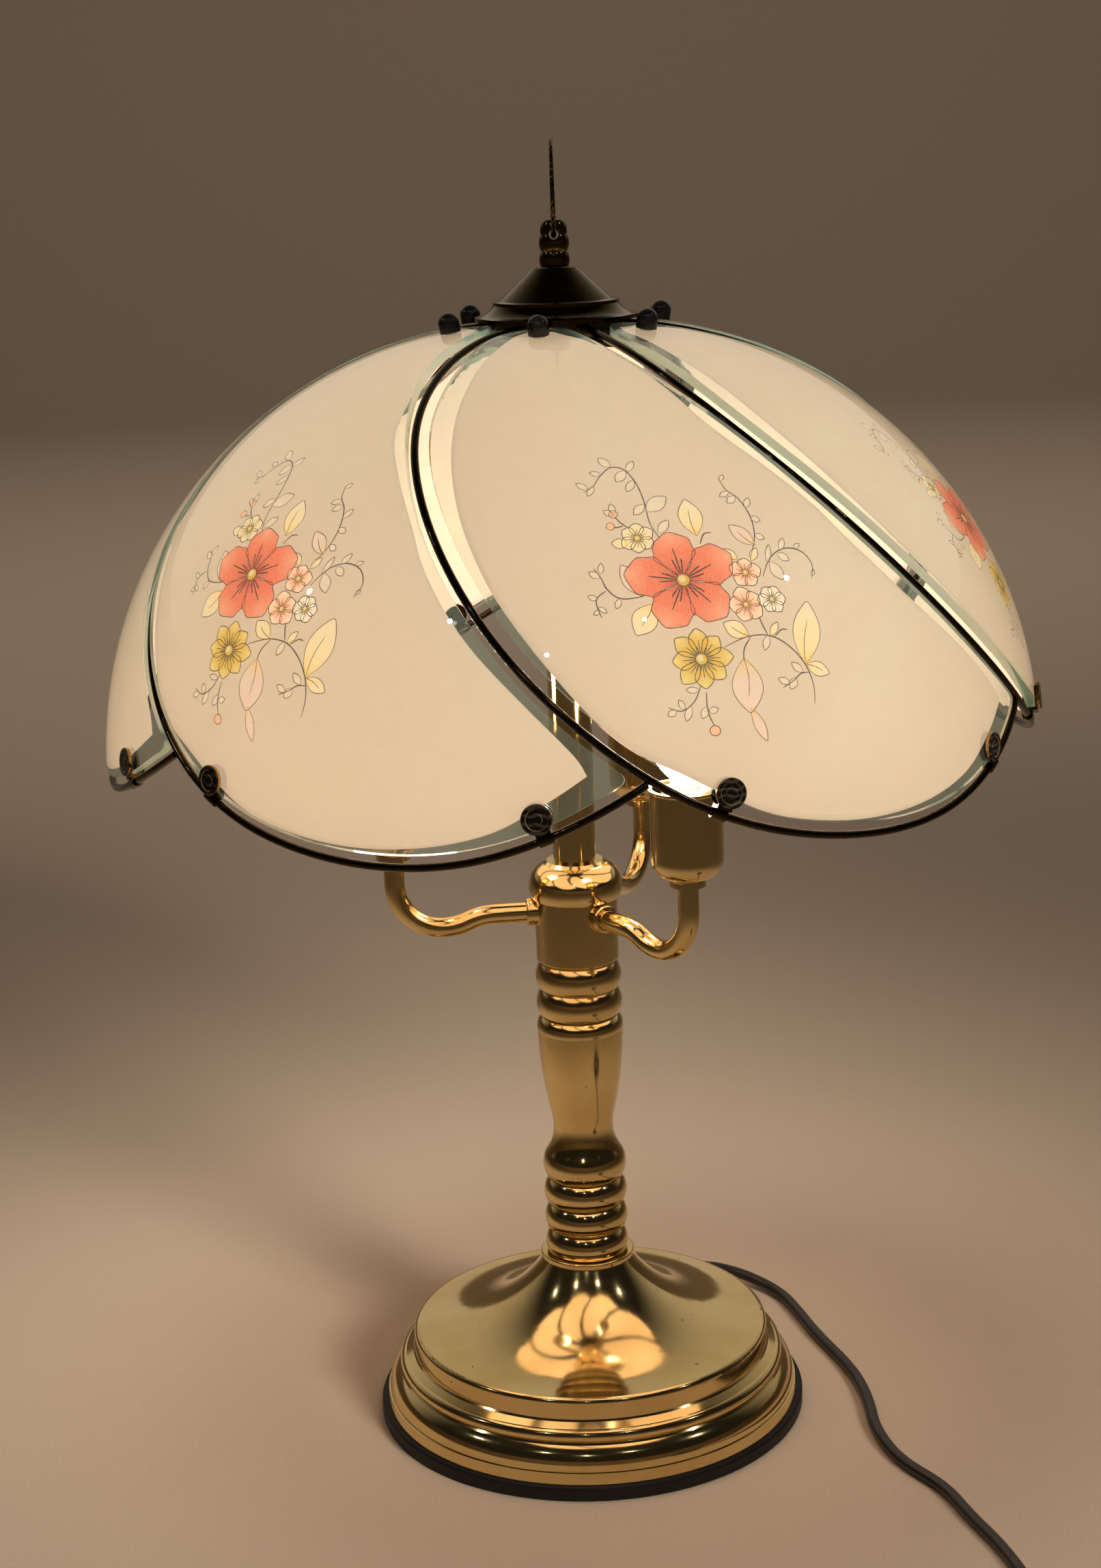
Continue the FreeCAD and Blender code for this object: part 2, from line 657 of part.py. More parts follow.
def build_rod():
    washer_foot = s.edge_ring_height - s.washer_wall
    nut_foot = washer_foot - s.nut_height
    stud_top = knob_foot() + s.stud_reach
    keep(turned("threaded_rod", (
        (0.0, nut_foot), (s.rod_radius, nut_foot), (s.rod_radius, rod_top()),
        (s.stud_radius, rod_top()), (s.stud_radius, stud_top), (0.0, stud_top))),
        "threaded_rod")
    keep(turned("rod_washer", box_outline(
        s.rod_radius + s.fit_gap, washer_foot, s.washer_radius, s.edge_ring_height)),
        "rod_washer")
    keep(hex_nut("rod_hex_nut", s.nut_flat, nut_foot, s.nut_height, s.rod_radius + s.fit_gap),
         "rod_nut")


def waist_height():
    lobes = s.first_lobe_height + s.lower_lobe_pitch * 2
    return column_foot() + s.foot_collar_height + lobes + s.bulge_height


def body_foot():
    return waist_height() + s.vase_height + s.upper_lobe_pitch * 2


def arm_height():
    return body_foot() + s.arm_rise


def body_cap_top():
    """The height of the bulged cap's flat top, on which the stem stands."""
    return body_foot() + s.body_height + s.cap_bulge_height + s.cap_lip


def shade_centre_height():
    return body_foot() + s.shade_rise


def crown_top():
    return shade_centre_height() + s.crown_rise


def crown_foot():
    return crown_top() - s.crown_depth


def rod_top():
    """The height where the rod steps down to its stud."""
    return crown_top() + s.rod_reach


def build_column():
    bore = s.spindle_bore
    collar_top = column_foot() + s.foot_collar_height
    collar = s.foot_collar_radius
    keep(turned("foot_collar", (
        (bore, column_foot()), (collar - EDGE, column_foot()), (collar, column_foot() + EDGE),
        (collar, collar_top - EDGE, EDGE), (collar - EDGE, collar_top), (bore, collar_top))),
        "foot_collar")

    groove = s.groove_radius
    lobe = bulge_of(s.lower_lobe_pitch, s.lobe_ring_radius - groove)
    first = collar_top + s.first_lobe_height
    bulge_foot = first + s.lower_lobe_pitch * 2
    knee = groove + EDGE
    waist = s.waist_radius
    throat = tangent_arc(knee - waist, s.bulge_height - s.bulge_knee)
    keep(turned("lower_spindle", (
        (bore, collar_top), (groove + EDGE * 2, collar_top, lobe), (groove, first, lobe),
        (groove, first + s.lower_lobe_pitch, lobe), (groove, bulge_foot, s.bulge_arc),
        (knee, bulge_foot + s.bulge_knee, -throat),
        (waist, waist_height()), (bore, waist_height()))), "lower_spindle")

    shoulder_top = waist_height() + s.vase_height
    upper_groove = s.upper_groove_radius
    flare = tangent_arc(s.vase_flare_width, s.vase_flare)
    keep(turned("vase_spindle", (
        (bore, waist_height()), (waist, waist_height(), -flare),
        (waist + s.vase_flare_width, waist_height() + s.vase_flare, s.vase_arc),
        (s.vase_radius, shoulder_top - s.vase_shoulder, s.vase_shoulder),
        (upper_groove, shoulder_top), (bore, shoulder_top))), "vase_spindle")

    upper_lobe = bulge_of(s.upper_lobe_pitch, s.vase_radius - upper_groove)
    keep(turned("upper_spindle", (
        (bore, shoulder_top), (upper_groove, shoulder_top, upper_lobe),
        (upper_groove, shoulder_top + s.upper_lobe_pitch, upper_lobe),
        (upper_groove, body_foot()), (bore, body_foot()))), "upper_spindle")

    build_arm_body()
    keep(turned("stem_tube", box_outline(
        s.stem_radius - s.stem_wall, body_cap_top(), s.stem_radius,
        crown_foot() - s.running_gap)),
        "stem_tube")


def body_inside():
    """The inner radius of the cylinder that carries the arms."""
    return s.body_radius - s.body_wall


def build_arm_body():
    """The cylinder that carries the arms, with its three holes, and its bulged cap."""
    foot = body_foot()
    floor = foot + s.body_floor
    top = foot + s.body_height
    inside = body_inside()
    blank = turned("arm_body_blank", (
        (s.spindle_bore, foot), (s.upper_groove_radius, foot), (s.body_radius, floor),
        (s.body_radius, top), (inside, top), (inside, floor), (s.spindle_bore, floor)))
    hole = primitive("Cylinder", "arm_hole", ALONG_X,
                     Radius=s.arm_radius + s.fit_gap, Height=s.body_radius * 2)
    holes = copies("arm_holes", hole, [arm_place(a) * ALONG_X for a in arm_azimuths()])
    keep(cut("arm_body_cut", blank, holes), "arm_body")
    ledge = inside - s.cap_ledge
    shoulder = s.cap_bulge_radius - s.cap_shoulder
    bore = s.rod_radius + s.fit_gap
    roof = body_cap_top() - s.cap_roof
    keep(turned("body_cap", (
        (ledge, top), (s.cap_bulge_radius - EDGE, top, s.cap_bulge_arc),
        (shoulder, top + s.cap_bulge_height), (shoulder - s.cap_lip, body_cap_top()),
        (bore, body_cap_top()), (bore, roof),
        (ledge - s.cap_ledge, roof), (ledge, top + s.cap_roof))), "body_cap")


# ---------------------------------------------------------------- arms and lights

def arm_place(azimuth):
    return about_z(azimuth, Vector(0, 0, arm_height().value))


def bulb_place(azimuth, height):
    return about_z(azimuth, Vector(s.arm_reach.value, 0, height.value))


def cup_foot():
    return arm_height() + s.cup_rise


def socket_foot():
    return cup_foot() + s.cup_wall


def socket_top():
    return socket_foot() + s.socket_height


def arm_tube():
    """One arm along +X: out of the body, down through an S bend, and up to its cup."""
    drop = s.arm_drop
    run = (drop * (s.arm_s_radius * 4 - drop)).root()
    bend_end = s.arm_reach - s.arm_elbow
    high = arm_height()
    low = high - drop
    start = s.body_radius - s.arm_root
    body = new_body("arm_tube")
    path = new_sketch(body, "XZ_Plane", "arm_path")
    draw_outline(path, (
        (start, high), (bend_end - run, high, -s.arm_s_radius),
        (bend_end - run / 2, high - drop / 2, s.arm_s_radius),
        (bend_end, low, s.arm_elbow), (s.arm_reach, low + s.arm_elbow),
        (s.arm_reach, socket_foot())), closed=False)
    section = new_sketch(body, "YZ_Plane", "arm_section", start)
    for radius in (s.arm_radius, s.arm_bore):
        ring = Part.Circle(Vector(0, high.value, 0), Vector(0, 0, 1), radius.value)
        geo = section.addGeometry(ring, False)
        index = section.addConstraint(Sketcher.Constraint("Radius", geo, radius.value))
        section.setExpression(f"Constraints[{index}]", radius.text)
        section.addConstraint(Sketcher.Constraint("PointOnObject", geo, 3, -2))
        index = section.addConstraint(
            Sketcher.Constraint("DistanceY", -1, 1, geo, 3, high.value))
        section.setExpression(f"Constraints[{index}]", high.text)
    doc.recompute()
    pipe = body.newObject("PartDesign::AdditivePipe", "arm_pipe")
    pipe.Profile = section
    pipe.Spine = (path, [f"Edge{i + 1}" for i in range(len(path.Shape.Edges))])
    return body


def candle_glass():
    """The bulb's flame-shaped glass, blown thin, from its neck up."""
    wall = s.bulb_wall
    widest = s.bulb_radius
    neck = s.bulb_neck_radius
    collar = s.bulb_collar
    low = tangent_arc(widest - neck, s.bulb_belly - collar)
    tip = s.bulb_height - s.bulb_tip_height
    tip_radius = s.bulb_tip_radius
    high = tangent_arc(widest - tip_radius, tip - s.bulb_belly)
    inner_tip = tip_radius - wall
    return turned("candle_glass", (
        (neck, 0.0), (neck, collar, low), (widest, s.bulb_belly, high),
        (tip_radius, tip, tangent_arc(s.bulb_tip_height, tip_radius)),
        (0.0, s.bulb_height), (0.0, s.bulb_height - wall, -tangent_arc(inner_tip, inner_tip)),
        (inner_tip, s.bulb_height - wall - inner_tip, -(high - wall)),
        (widest - wall, s.bulb_belly, -(low - wall)), (neck - wall, collar), (neck - wall, 0.0)))


def socket_blank():
    """The candle socket: a closed foot and a bore that takes the bulb's cap."""
    bore = s.bulb_cap_radius + s.running_gap
    floor = s.socket_height - s.bulb_cap_height + s.bulb_lift - s.running_gap
    return turned("lamp_socket", (
        (0.0, 0.0), (s.cup_radius - s.cup_round - EDGE, 0.0), (s.socket_radius, s.socket_bevel),
        (s.socket_radius, s.socket_height - EDGE),
        (s.socket_radius - EDGE, s.socket_height), (bore, s.socket_height), (bore, floor),
        (0.0, floor)))


def socket_cup():
    """The open cup with its rounded bottom and a small rolled lip."""
    wall = s.cup_wall
    hole = s.arm_radius + s.fit_gap
    lip = s.cup_height - s.cup_lip
    lip_radius = s.cup_radius + EDGE
    return turned("socket_cup", (
        (hole, 0.0), (s.cup_radius - s.cup_round, 0.0, s.cup_round),
        (s.cup_radius, s.cup_round), (s.cup_radius, lip), (lip_radius, lip + EDGE),
        (lip_radius, s.cup_height), (s.cup_radius - wall, s.cup_height),
        (s.cup_radius - wall, s.cup_round, -(s.cup_round - wall)),
        (s.cup_radius - s.cup_round, wall), (hole, wall)))


def build_arms():
    tube = arm_tube()
    cup = socket_cup()
    socket = socket_blank()
    glass = candle_glass()
    screw_cap = turned("candle_cap", (
        (0.0, 0.0), (s.bulb_cap_radius - s.bulb_cap_bevel, 0.0),
        (s.bulb_cap_radius, s.bulb_cap_bevel),
        (s.bulb_cap_radius, s.bulb_cap_height), (0.0, s.bulb_cap_height)))
    glass_foot = socket_top() + s.bulb_lift
    for number, azimuth in enumerate(arm_azimuths(), start=1):
        keep(copies(f"arm_{number}", tube, [about_z(azimuth)]), f"arm_tube_{number}")
        keep(copies(f"cup_{number}", cup, [bulb_place(azimuth, cup_foot())]),
             f"socket_cup_{number}")
        keep(copies(f"lamp_socket_{number}", socket, [bulb_place(azimuth, socket_foot())]),
             f"socket_{number}")
        keep(copies(f"candle_cap_{number}", screw_cap,
                    [bulb_place(azimuth, glass_foot - s.bulb_cap_height)]),
             f"bulb_cap_{number}")
        keep(copies(f"candle_glass_{number}", glass, [bulb_place(azimuth, glass_foot)]),
             f"bulb_glass_{number}")
    build_arm_fittings()


def build_arm_fittings():
    """Rosettes and nuts where the arms pass the body, and collars under the cups."""
    hole = s.arm_radius + s.fit_gap
    root = body_inside()
    end = s.body_radius + s.rosette_height
    blank = turned("rosette_blank", (
        (hole, root), (s.rosette_radius, root),
        (s.rosette_radius, end - s.rosette_round, s.rosette_round),
        (s.rosette_radius - s.rosette_round, end), (hole, end)))
    blank.Placement = arm_place(90) * ALONG_X
    column = primitive("Cylinder", "body_face", Radius=s.body_radius, Height=rod_top())
    rosette = cut("rosette", blank, column)
    keep(copies("rosettes", rosette, [about_z(a) for a in arm_azimuths()]), "arm_rosettes")
    across = s.arm_radius + s.arm_nut_wall
    corner = nut_corner(across)
    seat = (root * root - corner * corner).root() - s.running_gap
    nut = hex_nut("arm_hex_nut", across, seat - s.arm_nut_height, s.arm_nut_height, hole)
    flat_up = ALONG_X * Placement(Vector(), Rotation(30, 0, 0))
    keep(copies("arm_hex_nuts", nut, [arm_place(a) * flat_up for a in arm_azimuths()]),
         "arm_nuts")
    collar = turned("cup_collar", (
        (hole, -s.collar_height), (s.collar_radius, -s.collar_height),
        (s.collar_radius, -EDGE, EDGE), (s.collar_radius - EDGE, 0.0), (hole, 0.0)))
    keep(copies("cup_collar_set", collar, [bulb_place(a, cup_foot()) for a in arm_azimuths()]),
         "cup_collars")


# ---------------------------------------------------------------- shade

FOCUS = Vector(0, 0, shade_centre_height().value)


def dome_point(azimuth, elevation):
    """The point of the wires' dome seen from its focus at an azimuth and elevation."""
    rise = math.radians(elevation)
    turn = math.radians(azimuth)
    offset = s.shade_centre_radius.value
    reach = s.shade_arc.value ** 2 - (offset * math.sin(rise)) ** 2
    distance = offset * math.cos(rise) + math.sqrt(reach)
    across = distance * math.cos(rise)
    return FOCUS + Vector(across * math.sin(turn), -across * math.cos(turn),
                          distance * math.sin(rise))


def dome_height(arc, radius):
    """The height of a dome of a given arc radius at a distance from the axis."""
    across = radius - s.shade_centre_radius
    return shade_centre_height() + (arc * arc - across * across).root()


def glass_outer_arc():
    return s.shade_arc + s.glass_rise


def hub_arc():
    """The hub's outer dome: under the pads, under the panes."""
    lift = s.pinwheel_shift * (s.screw_ring - s.shade_centre_radius) / s.shade_arc
    return glass_outer_arc() - s.glass_wall + lift - s.pad_wall


def screw_places():
    """Where the pane screws stand on the hub's dome, square to it."""
    ring = s.screw_ring.value
    arc = hub_arc()
    tilt = math.asin((ring - s.shade_centre_radius.value) / arc.value)
    seat = Placement(Vector(ring, 0, dome_height(arc, s.screw_ring).value),
                     Rotation(Vector(0, 1, 0), math.degrees(tilt)))
    return [about_z(s.screw_azimuth.value + turn) * seat for turn in petal_turns()]


def build_hub():
    """The hub: a dish with a finger under each pane, a crown and a sleeve for the rod."""
    outer = hub_arc()
    inner = outer - s.hub_wall
    crown = s.crown_radius
    edge = s.hub_radius
    bore = s.rod_radius + s.running_gap
    stud_bore = s.stud_radius + s.running_gap
    step = rod_top() + s.running_gap
    sleeve_top = cap_top_height() - s.cap_wall
    blank = turned("hub_blank", (
        (bore, crown_foot()), (crown, crown_foot()), (crown, dome_height(inner, crown), -inner),
        (edge, dome_height(inner, edge)), (edge, dome_height(outer, edge), outer),
        (crown, dome_height(outer, crown)), (crown, crown_top()), (s.sleeve_radius, crown_top()),
        (s.sleeve_radius, sleeve_top), (stud_bore, sleeve_top), (stud_bore, step),
        (bore, step)))
    drill = primitive("Cylinder", "hub_drill", Radius=s.screw_radius + s.fit_gap,
                      Height=s.hub_wall * 4)
    below = Placement(Vector(0, 0, -2 * s.hub_wall.value), Rotation())
    drills = copies("hub_drills", drill, [place * below for place in screw_places()])
    notch = primitive("Cylinder", "hub_notch_tool", Radius=s.hub_notch, Height=rod_top())
    between = s.screw_azimuth.value + petal_turns()[1] / 2
    middle = Vector(s.hub_notch_ring.value, 0, 0)
    notches = copies("hub_notches", notch,
                     [about_z(between + turn, middle) for turn in petal_turns()])
    keep(cut("hub", cut("hub_star", blank, notches), drills), "shade_hub")


def wire_curve():
    curve = Part.BSplineCurve()
    curve.interpolate([dome_point(*spot) for spot in WIRE_LINE])
    return curve


def build_wires():
    """The petal wires, each from the crown to its weld on the next wire."""
    curve = wire_curve()
    first = curve.FirstParameter
    ring = Part.Circle(curve.value(first), curve.tangent(first)[0], s.wire_radius.value)
    line = Part.Wire(curve.toShape())
    pipe = solid_feature("wire_pipe", line.makePipeShell([Part.Wire(ring.toShape())], True, True))
    crown = primitive("Cylinder", "crown_body", Radius=s.crown_radius, Height=knob_foot())
    following = copies("next_wire", pipe, [Placement(Vector(), Rotation(petal_turns()[1], 0, 0))])
    wire = cut("petal_wire", cut("wire_at_crown", pipe, crown), following)
    for number, turn in enumerate(petal_turns(), start=1):
        keep(copies(f"wire_{number}", wire, [Placement(Vector(), Rotation(turn, 0, 0))]),
             f"petal_wire_{number}")


def beside_wire(line_spot, gap, turn=0.0):
    """A point of the dome beside the wire, the gap towards the petal's inside."""
    curve = wire_curve()
    spot = dome_point(*line_spot)
    along = curve.tangent(curve.parameter(spot))[0]
    outward = (spot - FOCUS).normalize()
    point = spot + outward.cross(along) * gap
    return Rotation(turn, 0, 0).multVec(point - FOCUS) + FOCUS


def pane_spots():
    """The pane's outline on the dome: up the right edge, round the top, down the left.

    The right edge follows a stretch of the next wire, the left edge one of this wire.
    """
    right = [beside_wire(spot, -s.right_gap.value, petal_turns()[1])
             for spot in reversed(WIRE_LINE[3:7])]
    ring = s.screw_ring.value
    half = math.degrees(s.pane_top_width.value / 2 / ring)
    middle = s.screw_azimuth.value
    top = []
    for distance, azimuth in ((ring, middle + half), (s.pane_top_radius.value, middle),
                              (ring, middle - half)):
        height = dome_height(s.shade_arc, Size.of(distance)).value
        top.append(about_z(azimuth).multVec(Vector(distance, 0, height)))
    left = []
    stretch = WIRE_LINE[2:-1]
    for step, spot in enumerate(stretch):
        share = step / (len(stretch) - 1)
        gap = s.top_gap.value + (s.foot_gap.value - s.top_gap.value) * share
        left.append(beside_wire(spot, gap))
    return right + top + left


def pane_border(scale):
    """The pane's outline on a plane square to its middle, seen from the dome's focus."""
    middle = (dome_point(*PANE_MIDDLE_ANGLES) - FOCUS).normalize()
    flat = []
    for spot in pane_spots():
        ray = spot - FOCUS
        flat.append(FOCUS + ray * (s.shade_arc.value * scale / ray.dot(middle)))
    side = Part.BSplineCurve()
    side.interpolate(flat)
    first, last = flat[0], flat[-1]
    run_in = side.tangent(side.FirstParameter)[0]
    run_out = side.tangent(side.LastParameter)[0]
    square = middle.cross(run_in)
    corner = last + run_out * ((first - last).dot(square) / run_out.dot(square))
    near = s.corner_round.value * 2 * scale
    foot = corner + (last - corner).normalize() * near
    head = corner + (first - corner).normalize() * near
    bend = Part.BezierCurve()
    bend.setPoles([foot, corner, head])
    return Part.Wire([side.toShape(), Part.makeLine(last, foot), bend.toShape(),
                      Part.makeLine(head, first)])


def dome_shell(outer, inner):
    """A full shell of glass between two dome arcs, out of which a pane is cut."""
    across = s.shade_centre_radius.value
    low, high = (math.radians(rise) for rise in DOME_SWEEP_ANGLES)
    rises = (low, (low + high) / 2, high)
    corners = {}
    for arc in (outer, inner):
        for rise in rises:
            corners[arc, rise] = FOCUS + Vector(across + arc * math.cos(rise), 0,
                                                arc * math.sin(rise))
    arcs = [Part.Arc(*(corners[arc, rise] for rise in rises)).toShape()
            for arc in (outer, inner)]
    ends = [Part.makeLine(corners[outer, rise], corners[inner, rise]) for rise in (low, high)]
    face = Part.Face(Part.Wire(Part.__sortEdges__(arcs + ends)))
    return face.revolve(Vector(), Vector(0, 0, 1), 360)


def build_panes():
    """The glass panes: a dome shell, moved sideways a little, cut to the petal's outline."""
    outer = glass_outer_arc().value
    shell = dome_shell(outer, outer - s.glass_wall.value)
    shell.translate(about_z(s.pinwheel_azimuth.value).multVec(
        Vector(s.pinwheel_shift.value, 0, 0)))
    block = Part.makeLoft([pane_border(scale) for scale in PANE_BLOCK_SHARES], True, True)
    hole = Part.makeCylinder(s.pane_hole.value, s.glass_wall.value * 6)
    hole.Placement = screw_places()[0] * Placement(
        Vector(0, 0, -2 * s.glass_wall.value), Rotation())
    pane = solid_feature("pane", shell.common(block).cut(hole))
    for number, turn in enumerate(petal_turns(), start=1):
        keep(copies(f"pane_{number}", pane, [Placement(Vector(), Rotation(turn, 0, 0))]),
             f"glass_panel_{number}")


def build_pane_screws():
    """Screws from below, rubber pads between hub and glass, and acorn nuts on top."""
    places = screw_places()
    bore = s.screw_radius + s.fit_gap
    gap = s.fit_gap * 2
    glass_top = s.pad_wall + s.glass_wall
    pad_height = s.pad_wall - gap - s.fit_gap
    pad = turned("panel_pad", box_outline(bore, gap, s.pad_radius, pad_height))
    keep(copies("pads", pad, places), "panel_pads")
    head_top = -(s.hub_wall + gap)
    head_foot = head_top - s.screw_head_height
    tip = glass_top + s.acorn_height / 2
    screw = turned("panel_screw", (
        (0.0, head_foot), (s.screw_head_radius - EDGE, head_foot),
        (s.screw_head_radius, head_foot + EDGE), (s.screw_head_radius, head_top),
        (s.screw_radius, head_top), (s.screw_radius, tip), (0.0, tip)))
    keep(copies("screws", screw, places), "panel_screws")
    foot = glass_top + gap
    top = foot + s.acorn_height
    dome = top - s.acorn_radius
    nut = turned("acorn_nut", (
        (bore, foot), (s.acorn_radius, foot), (s.acorn_radius, dome, s.acorn_radius),
        (0.0, top), (0.0, tip + gap), (bore, tip + gap)))
    keep(copies("nuts", nut, places), "acorn_nuts")


def glass_centre(point):
    """The middle of the pane's dome arc in the upright plane through a point."""
    shift = about_z(s.pinwheel_azimuth.value).multVec(Vector(s.pinwheel_shift.value, 0, 0))
    level = point - FOCUS - shift
    level.z = 0
    return FOCUS + shift + level.normalize() * s.shade_centre_radius.value


def clip_place(azimuth):
    """The frame of a clip on the wire: +X into the petal, +Z square to the pane there."""
    line = wire_curve().discretize(Number=600)
    low_part = [p for p in line if p.z < FOCUS.z + s.shade_arc.value / 2]
    spot = min(low_part, key=lambda p: abs(math.degrees(math.atan2(p.x, -p.y)) - azimuth))
    curve = wire_curve()
    along = curve.tangent(curve.parameter(spot))[0]
    outward = (spot - FOCUS).normalize()
    disc = spot + outward.cross(along).normalize() * s.clip_reach.value
    square = (disc - glass_centre(disc)).normalize()
    inward = square.cross(along).normalize()
    return Placement(spot, Rotation(inward, square.cross(inward), square, "ZXY"))


def glass_offset(azimuth):
    """How far the pane's outer side lies outside the wire's middle, under a medallion."""
    disc = clip_place(azimuth).multVec(Vector(s.clip_reach.value, 0, 0))
    return glass_outer_arc() - (disc - glass_centre(disc)).Length


def clip_strap(name, azimuth):
    """A bent strap: a collar round the wire and a leaf on each side of the glass."""
    wall = s.clip_strap
    width = s.clip_tab_width
    front = glass_offset(azimuth) + s.fit_gap
    back = front - s.glass_wall - s.fit_gap * 2 - wall
    riser = s.wire_radius + s.fit_gap

    def leaf(part, near, length, low, height):
        item = primitive("Box", f"{name}_{part}", Length=length, Width=width, Height=height)
        item.setExpression(".Placement.Base.x", near.text)
        item.setExpression(".Placement.Base.y", (-width / 2).text)
        item.setExpression(".Placement.Base.z", low.text)
        return item

    def round_part(part, radius, length):
        item = primitive("Cylinder", f"{name}_{part}", ALONG_Y, Radius=radius, Height=length)
        item.setExpression(".Placement.Base.y", (-length / 2).text)
        return item

    disc = primitive("Cylinder", f"{name}_disc", Radius=s.clip_disc_radius, Height=wall)
    disc.setExpression(".Placement.Base.x", s.clip_reach.text)
    disc.setExpression(".Placement.Base.z", back.text)
    blank = fuse(f"{name}_blank", [
        round_part("collar", s.wire_radius + s.clip_strap, width),
        leaf("riser", riser, s.clip_riser, back, front + wall - back),
        leaf("front", riser, s.clip_reach + s.clip_overlap, front, wall),
        leaf("back", riser, s.clip_reach, back, wall), disc])
    return cut(name, blank, round_part("bore", riser, width * 2))


def build_clips():
    face = s.clip_disc_radius
    top = s.clip_disc_wall
    step = EDGE / 2
    rim = face - step * 4
    boss = face / 3
    medallion = turned("medallion", (
        (0.0, 0.0), (face, 0.0), (face, top - step), (face - step, top), (rim, top),
        (rim - step, top - step), (boss + step, top - step), (boss, top), (0.0, top)))
    straps = []
    medallions = []
    for name, azimuth in (("left_strap", s.clip_left.value), ("right_strap", s.clip_right.value)):
        strap = clip_strap(name, azimuth)
        front = glass_offset(azimuth) + s.fit_gap + s.clip_strap
        seat = Placement(Vector(s.clip_reach.value, 0, front.value), Rotation())
        for turn in petal_turns():
            place = Placement(Vector(), Rotation(turn, 0, 0)) * clip_place(azimuth)
            straps.append((strap, place))
            medallions.append((medallion, place * seat))
    keep(mixed_copies("clip_set", straps), "clip_straps")
    keep(mixed_copies("medallion_set", medallions), "clip_medallions")


# ---------------------------------------------------------------- cap and finial

def build_cap():
    wall = s.cap_wall
    rim = s.cap_rim_radius
    neck = s.cap_flare_radius
    cone = s.cap_cone_radius
    tip = s.cap_top_radius
    foot = cap_rim_height()
    rim_top = foot + s.cap_rim_band
    neck_foot = foot + s.cap_flare_rise
    cone_foot = foot + s.cap_cone_rise
    top = cap_top_height()
    across = rim - neck
    along = neck_foot - rim_top
    flare = bulge_of((across * across + along * along).root(), s.cap_flare_depth)
    hole = s.stud_radius + s.running_gap
    keep(turned("shade_cap", (
        (rim - wall, foot), (rim, foot), (rim, rim_top, -flare), (neck, neck_foot),
        (neck, cone_foot - EDGE / 2), (cone + EDGE, cone_foot), (cone, cone_foot),
        (tip, top - EDGE), (tip - EDGE, top), (hole, top), (hole, top - wall),
        (tip - wall, top - wall), (cone - wall, cone_foot - wall),
        (neck - wall, neck_foot - wall, flare), (rim - wall, rim_top - EDGE))), "shade_cap")


def build_finial():
    foot = knob_foot()
    groove = s.knob_groove_radius
    depth = s.knob_radius - groove
    rise = s.knob_upper_groove - s.knob_lower_groove
    bead = bulge_of(rise, depth)
    bore = s.stud_radius + s.running_gap
    bore_top = foot + s.stud_reach + s.running_gap
    top = foot + s.knob_height
    blank = turned("knob_blank", (
        (bore, foot), (s.knob_radius - EDGE / 2, foot, bead),
        (groove, foot + s.knob_lower_groove, bead), (groove, foot + s.knob_upper_groove, bead),
        (groove - EDGE, top - EDGE), (groove - EDGE * 2, top),
        (0.0, top), (0.0, bore_top), (bore, bore_top)))
    hole = primitive("Cylinder", "ring_hole", ALONG_Y, Radius=s.ring_hole_radius,
                     Height=s.knob_radius * 4)
    hole.setExpression(".Placement.Base.y", (-s.knob_radius * 2).text)
    hole.setExpression(".Placement.Base.z", (foot + s.knob_upper_groove).text)
    keep(cut("finial_knob_cut", blank, hole), "finial_knob")
    ring = primitive("Torus", "finial_ring_torus", ALONG_X,
                     Radius1=s.ring_radius, Radius2=s.ring_wire_radius)
    ring_middle = foot + s.knob_upper_groove - s.ring_sag + s.ring_radius
    ring.setExpression(".Placement.Base.z", ring_middle.text)
    keep(ring, "finial_ring")


# ---------------------------------------------------------------- mains cord

def rounded_path(points):
    """Straight runs joined by the largest tangent arcs that the runs allow."""
    edges = []
    start = points[0]
    for before, corner, after in zip(points, points[1:], points[2:]):
        run_in, run_out = corner - before, after - corner
        half_turn = run_in.getAngle(run_out) / 2
        setback = 0.45 * min(run_in.Length, run_out.Length)
        radius = setback / math.tan(half_turn)
        print(f"cord bend: radius {radius:.1f} mm")
        entry = corner - run_in.normalize() * setback
        leave = corner + run_out.normalize() * setback
        towards = (entry + leave) * 0.5 - corner
        middle = corner + towards.normalize() * (radius / math.cos(half_turn) - radius)
        edges.append(Part.makeLine(start, entry))
        edges.append(Part.Arc(entry, middle, leave).toShape())
        start = leave
    edges.append(Part.makeLine(start, points[-1]))
    return Part.Wire(edges)


def build_cord():
    path = rounded_path([Vector(*point) for point in CORD_ROUTE])
    start = path.Edges[0]
    ring = Part.Circle(start.Vertexes[0].Point, start.tangentAt(0), s.cord_radius.value)
    tube = path.makePipeShell([Part.Wire(ring.toShape())], True, True)
    section = math.pi * s.cord_radius.value ** 2
    print(f"cord length {path.Length:.1f} mm, volume over section {tube.Volume / section:.1f} mm")
    keep(solid_feature("cord_tube", tube), "cord")

    half = s.coil_width / 2
    inside, outside = s.coil_radius - half, s.coil_radius + half
    top, corner = s.coil_height, s.coil_round
    coil = turned("coil", (
        (inside + corner, 0.0), (outside - corner, 0.0, corner), (outside, corner),
        (outside, top - corner, corner), (outside - corner, top), (inside + corner, top, corner),
        (inside, top - corner), (inside, corner, corner)))
    coil.setExpression(".Placement.Base.x", s.coil_x.text)
    coil.setExpression(".Placement.Base.y", s.coil_y.text)
    keep(coil, "cord_coil")


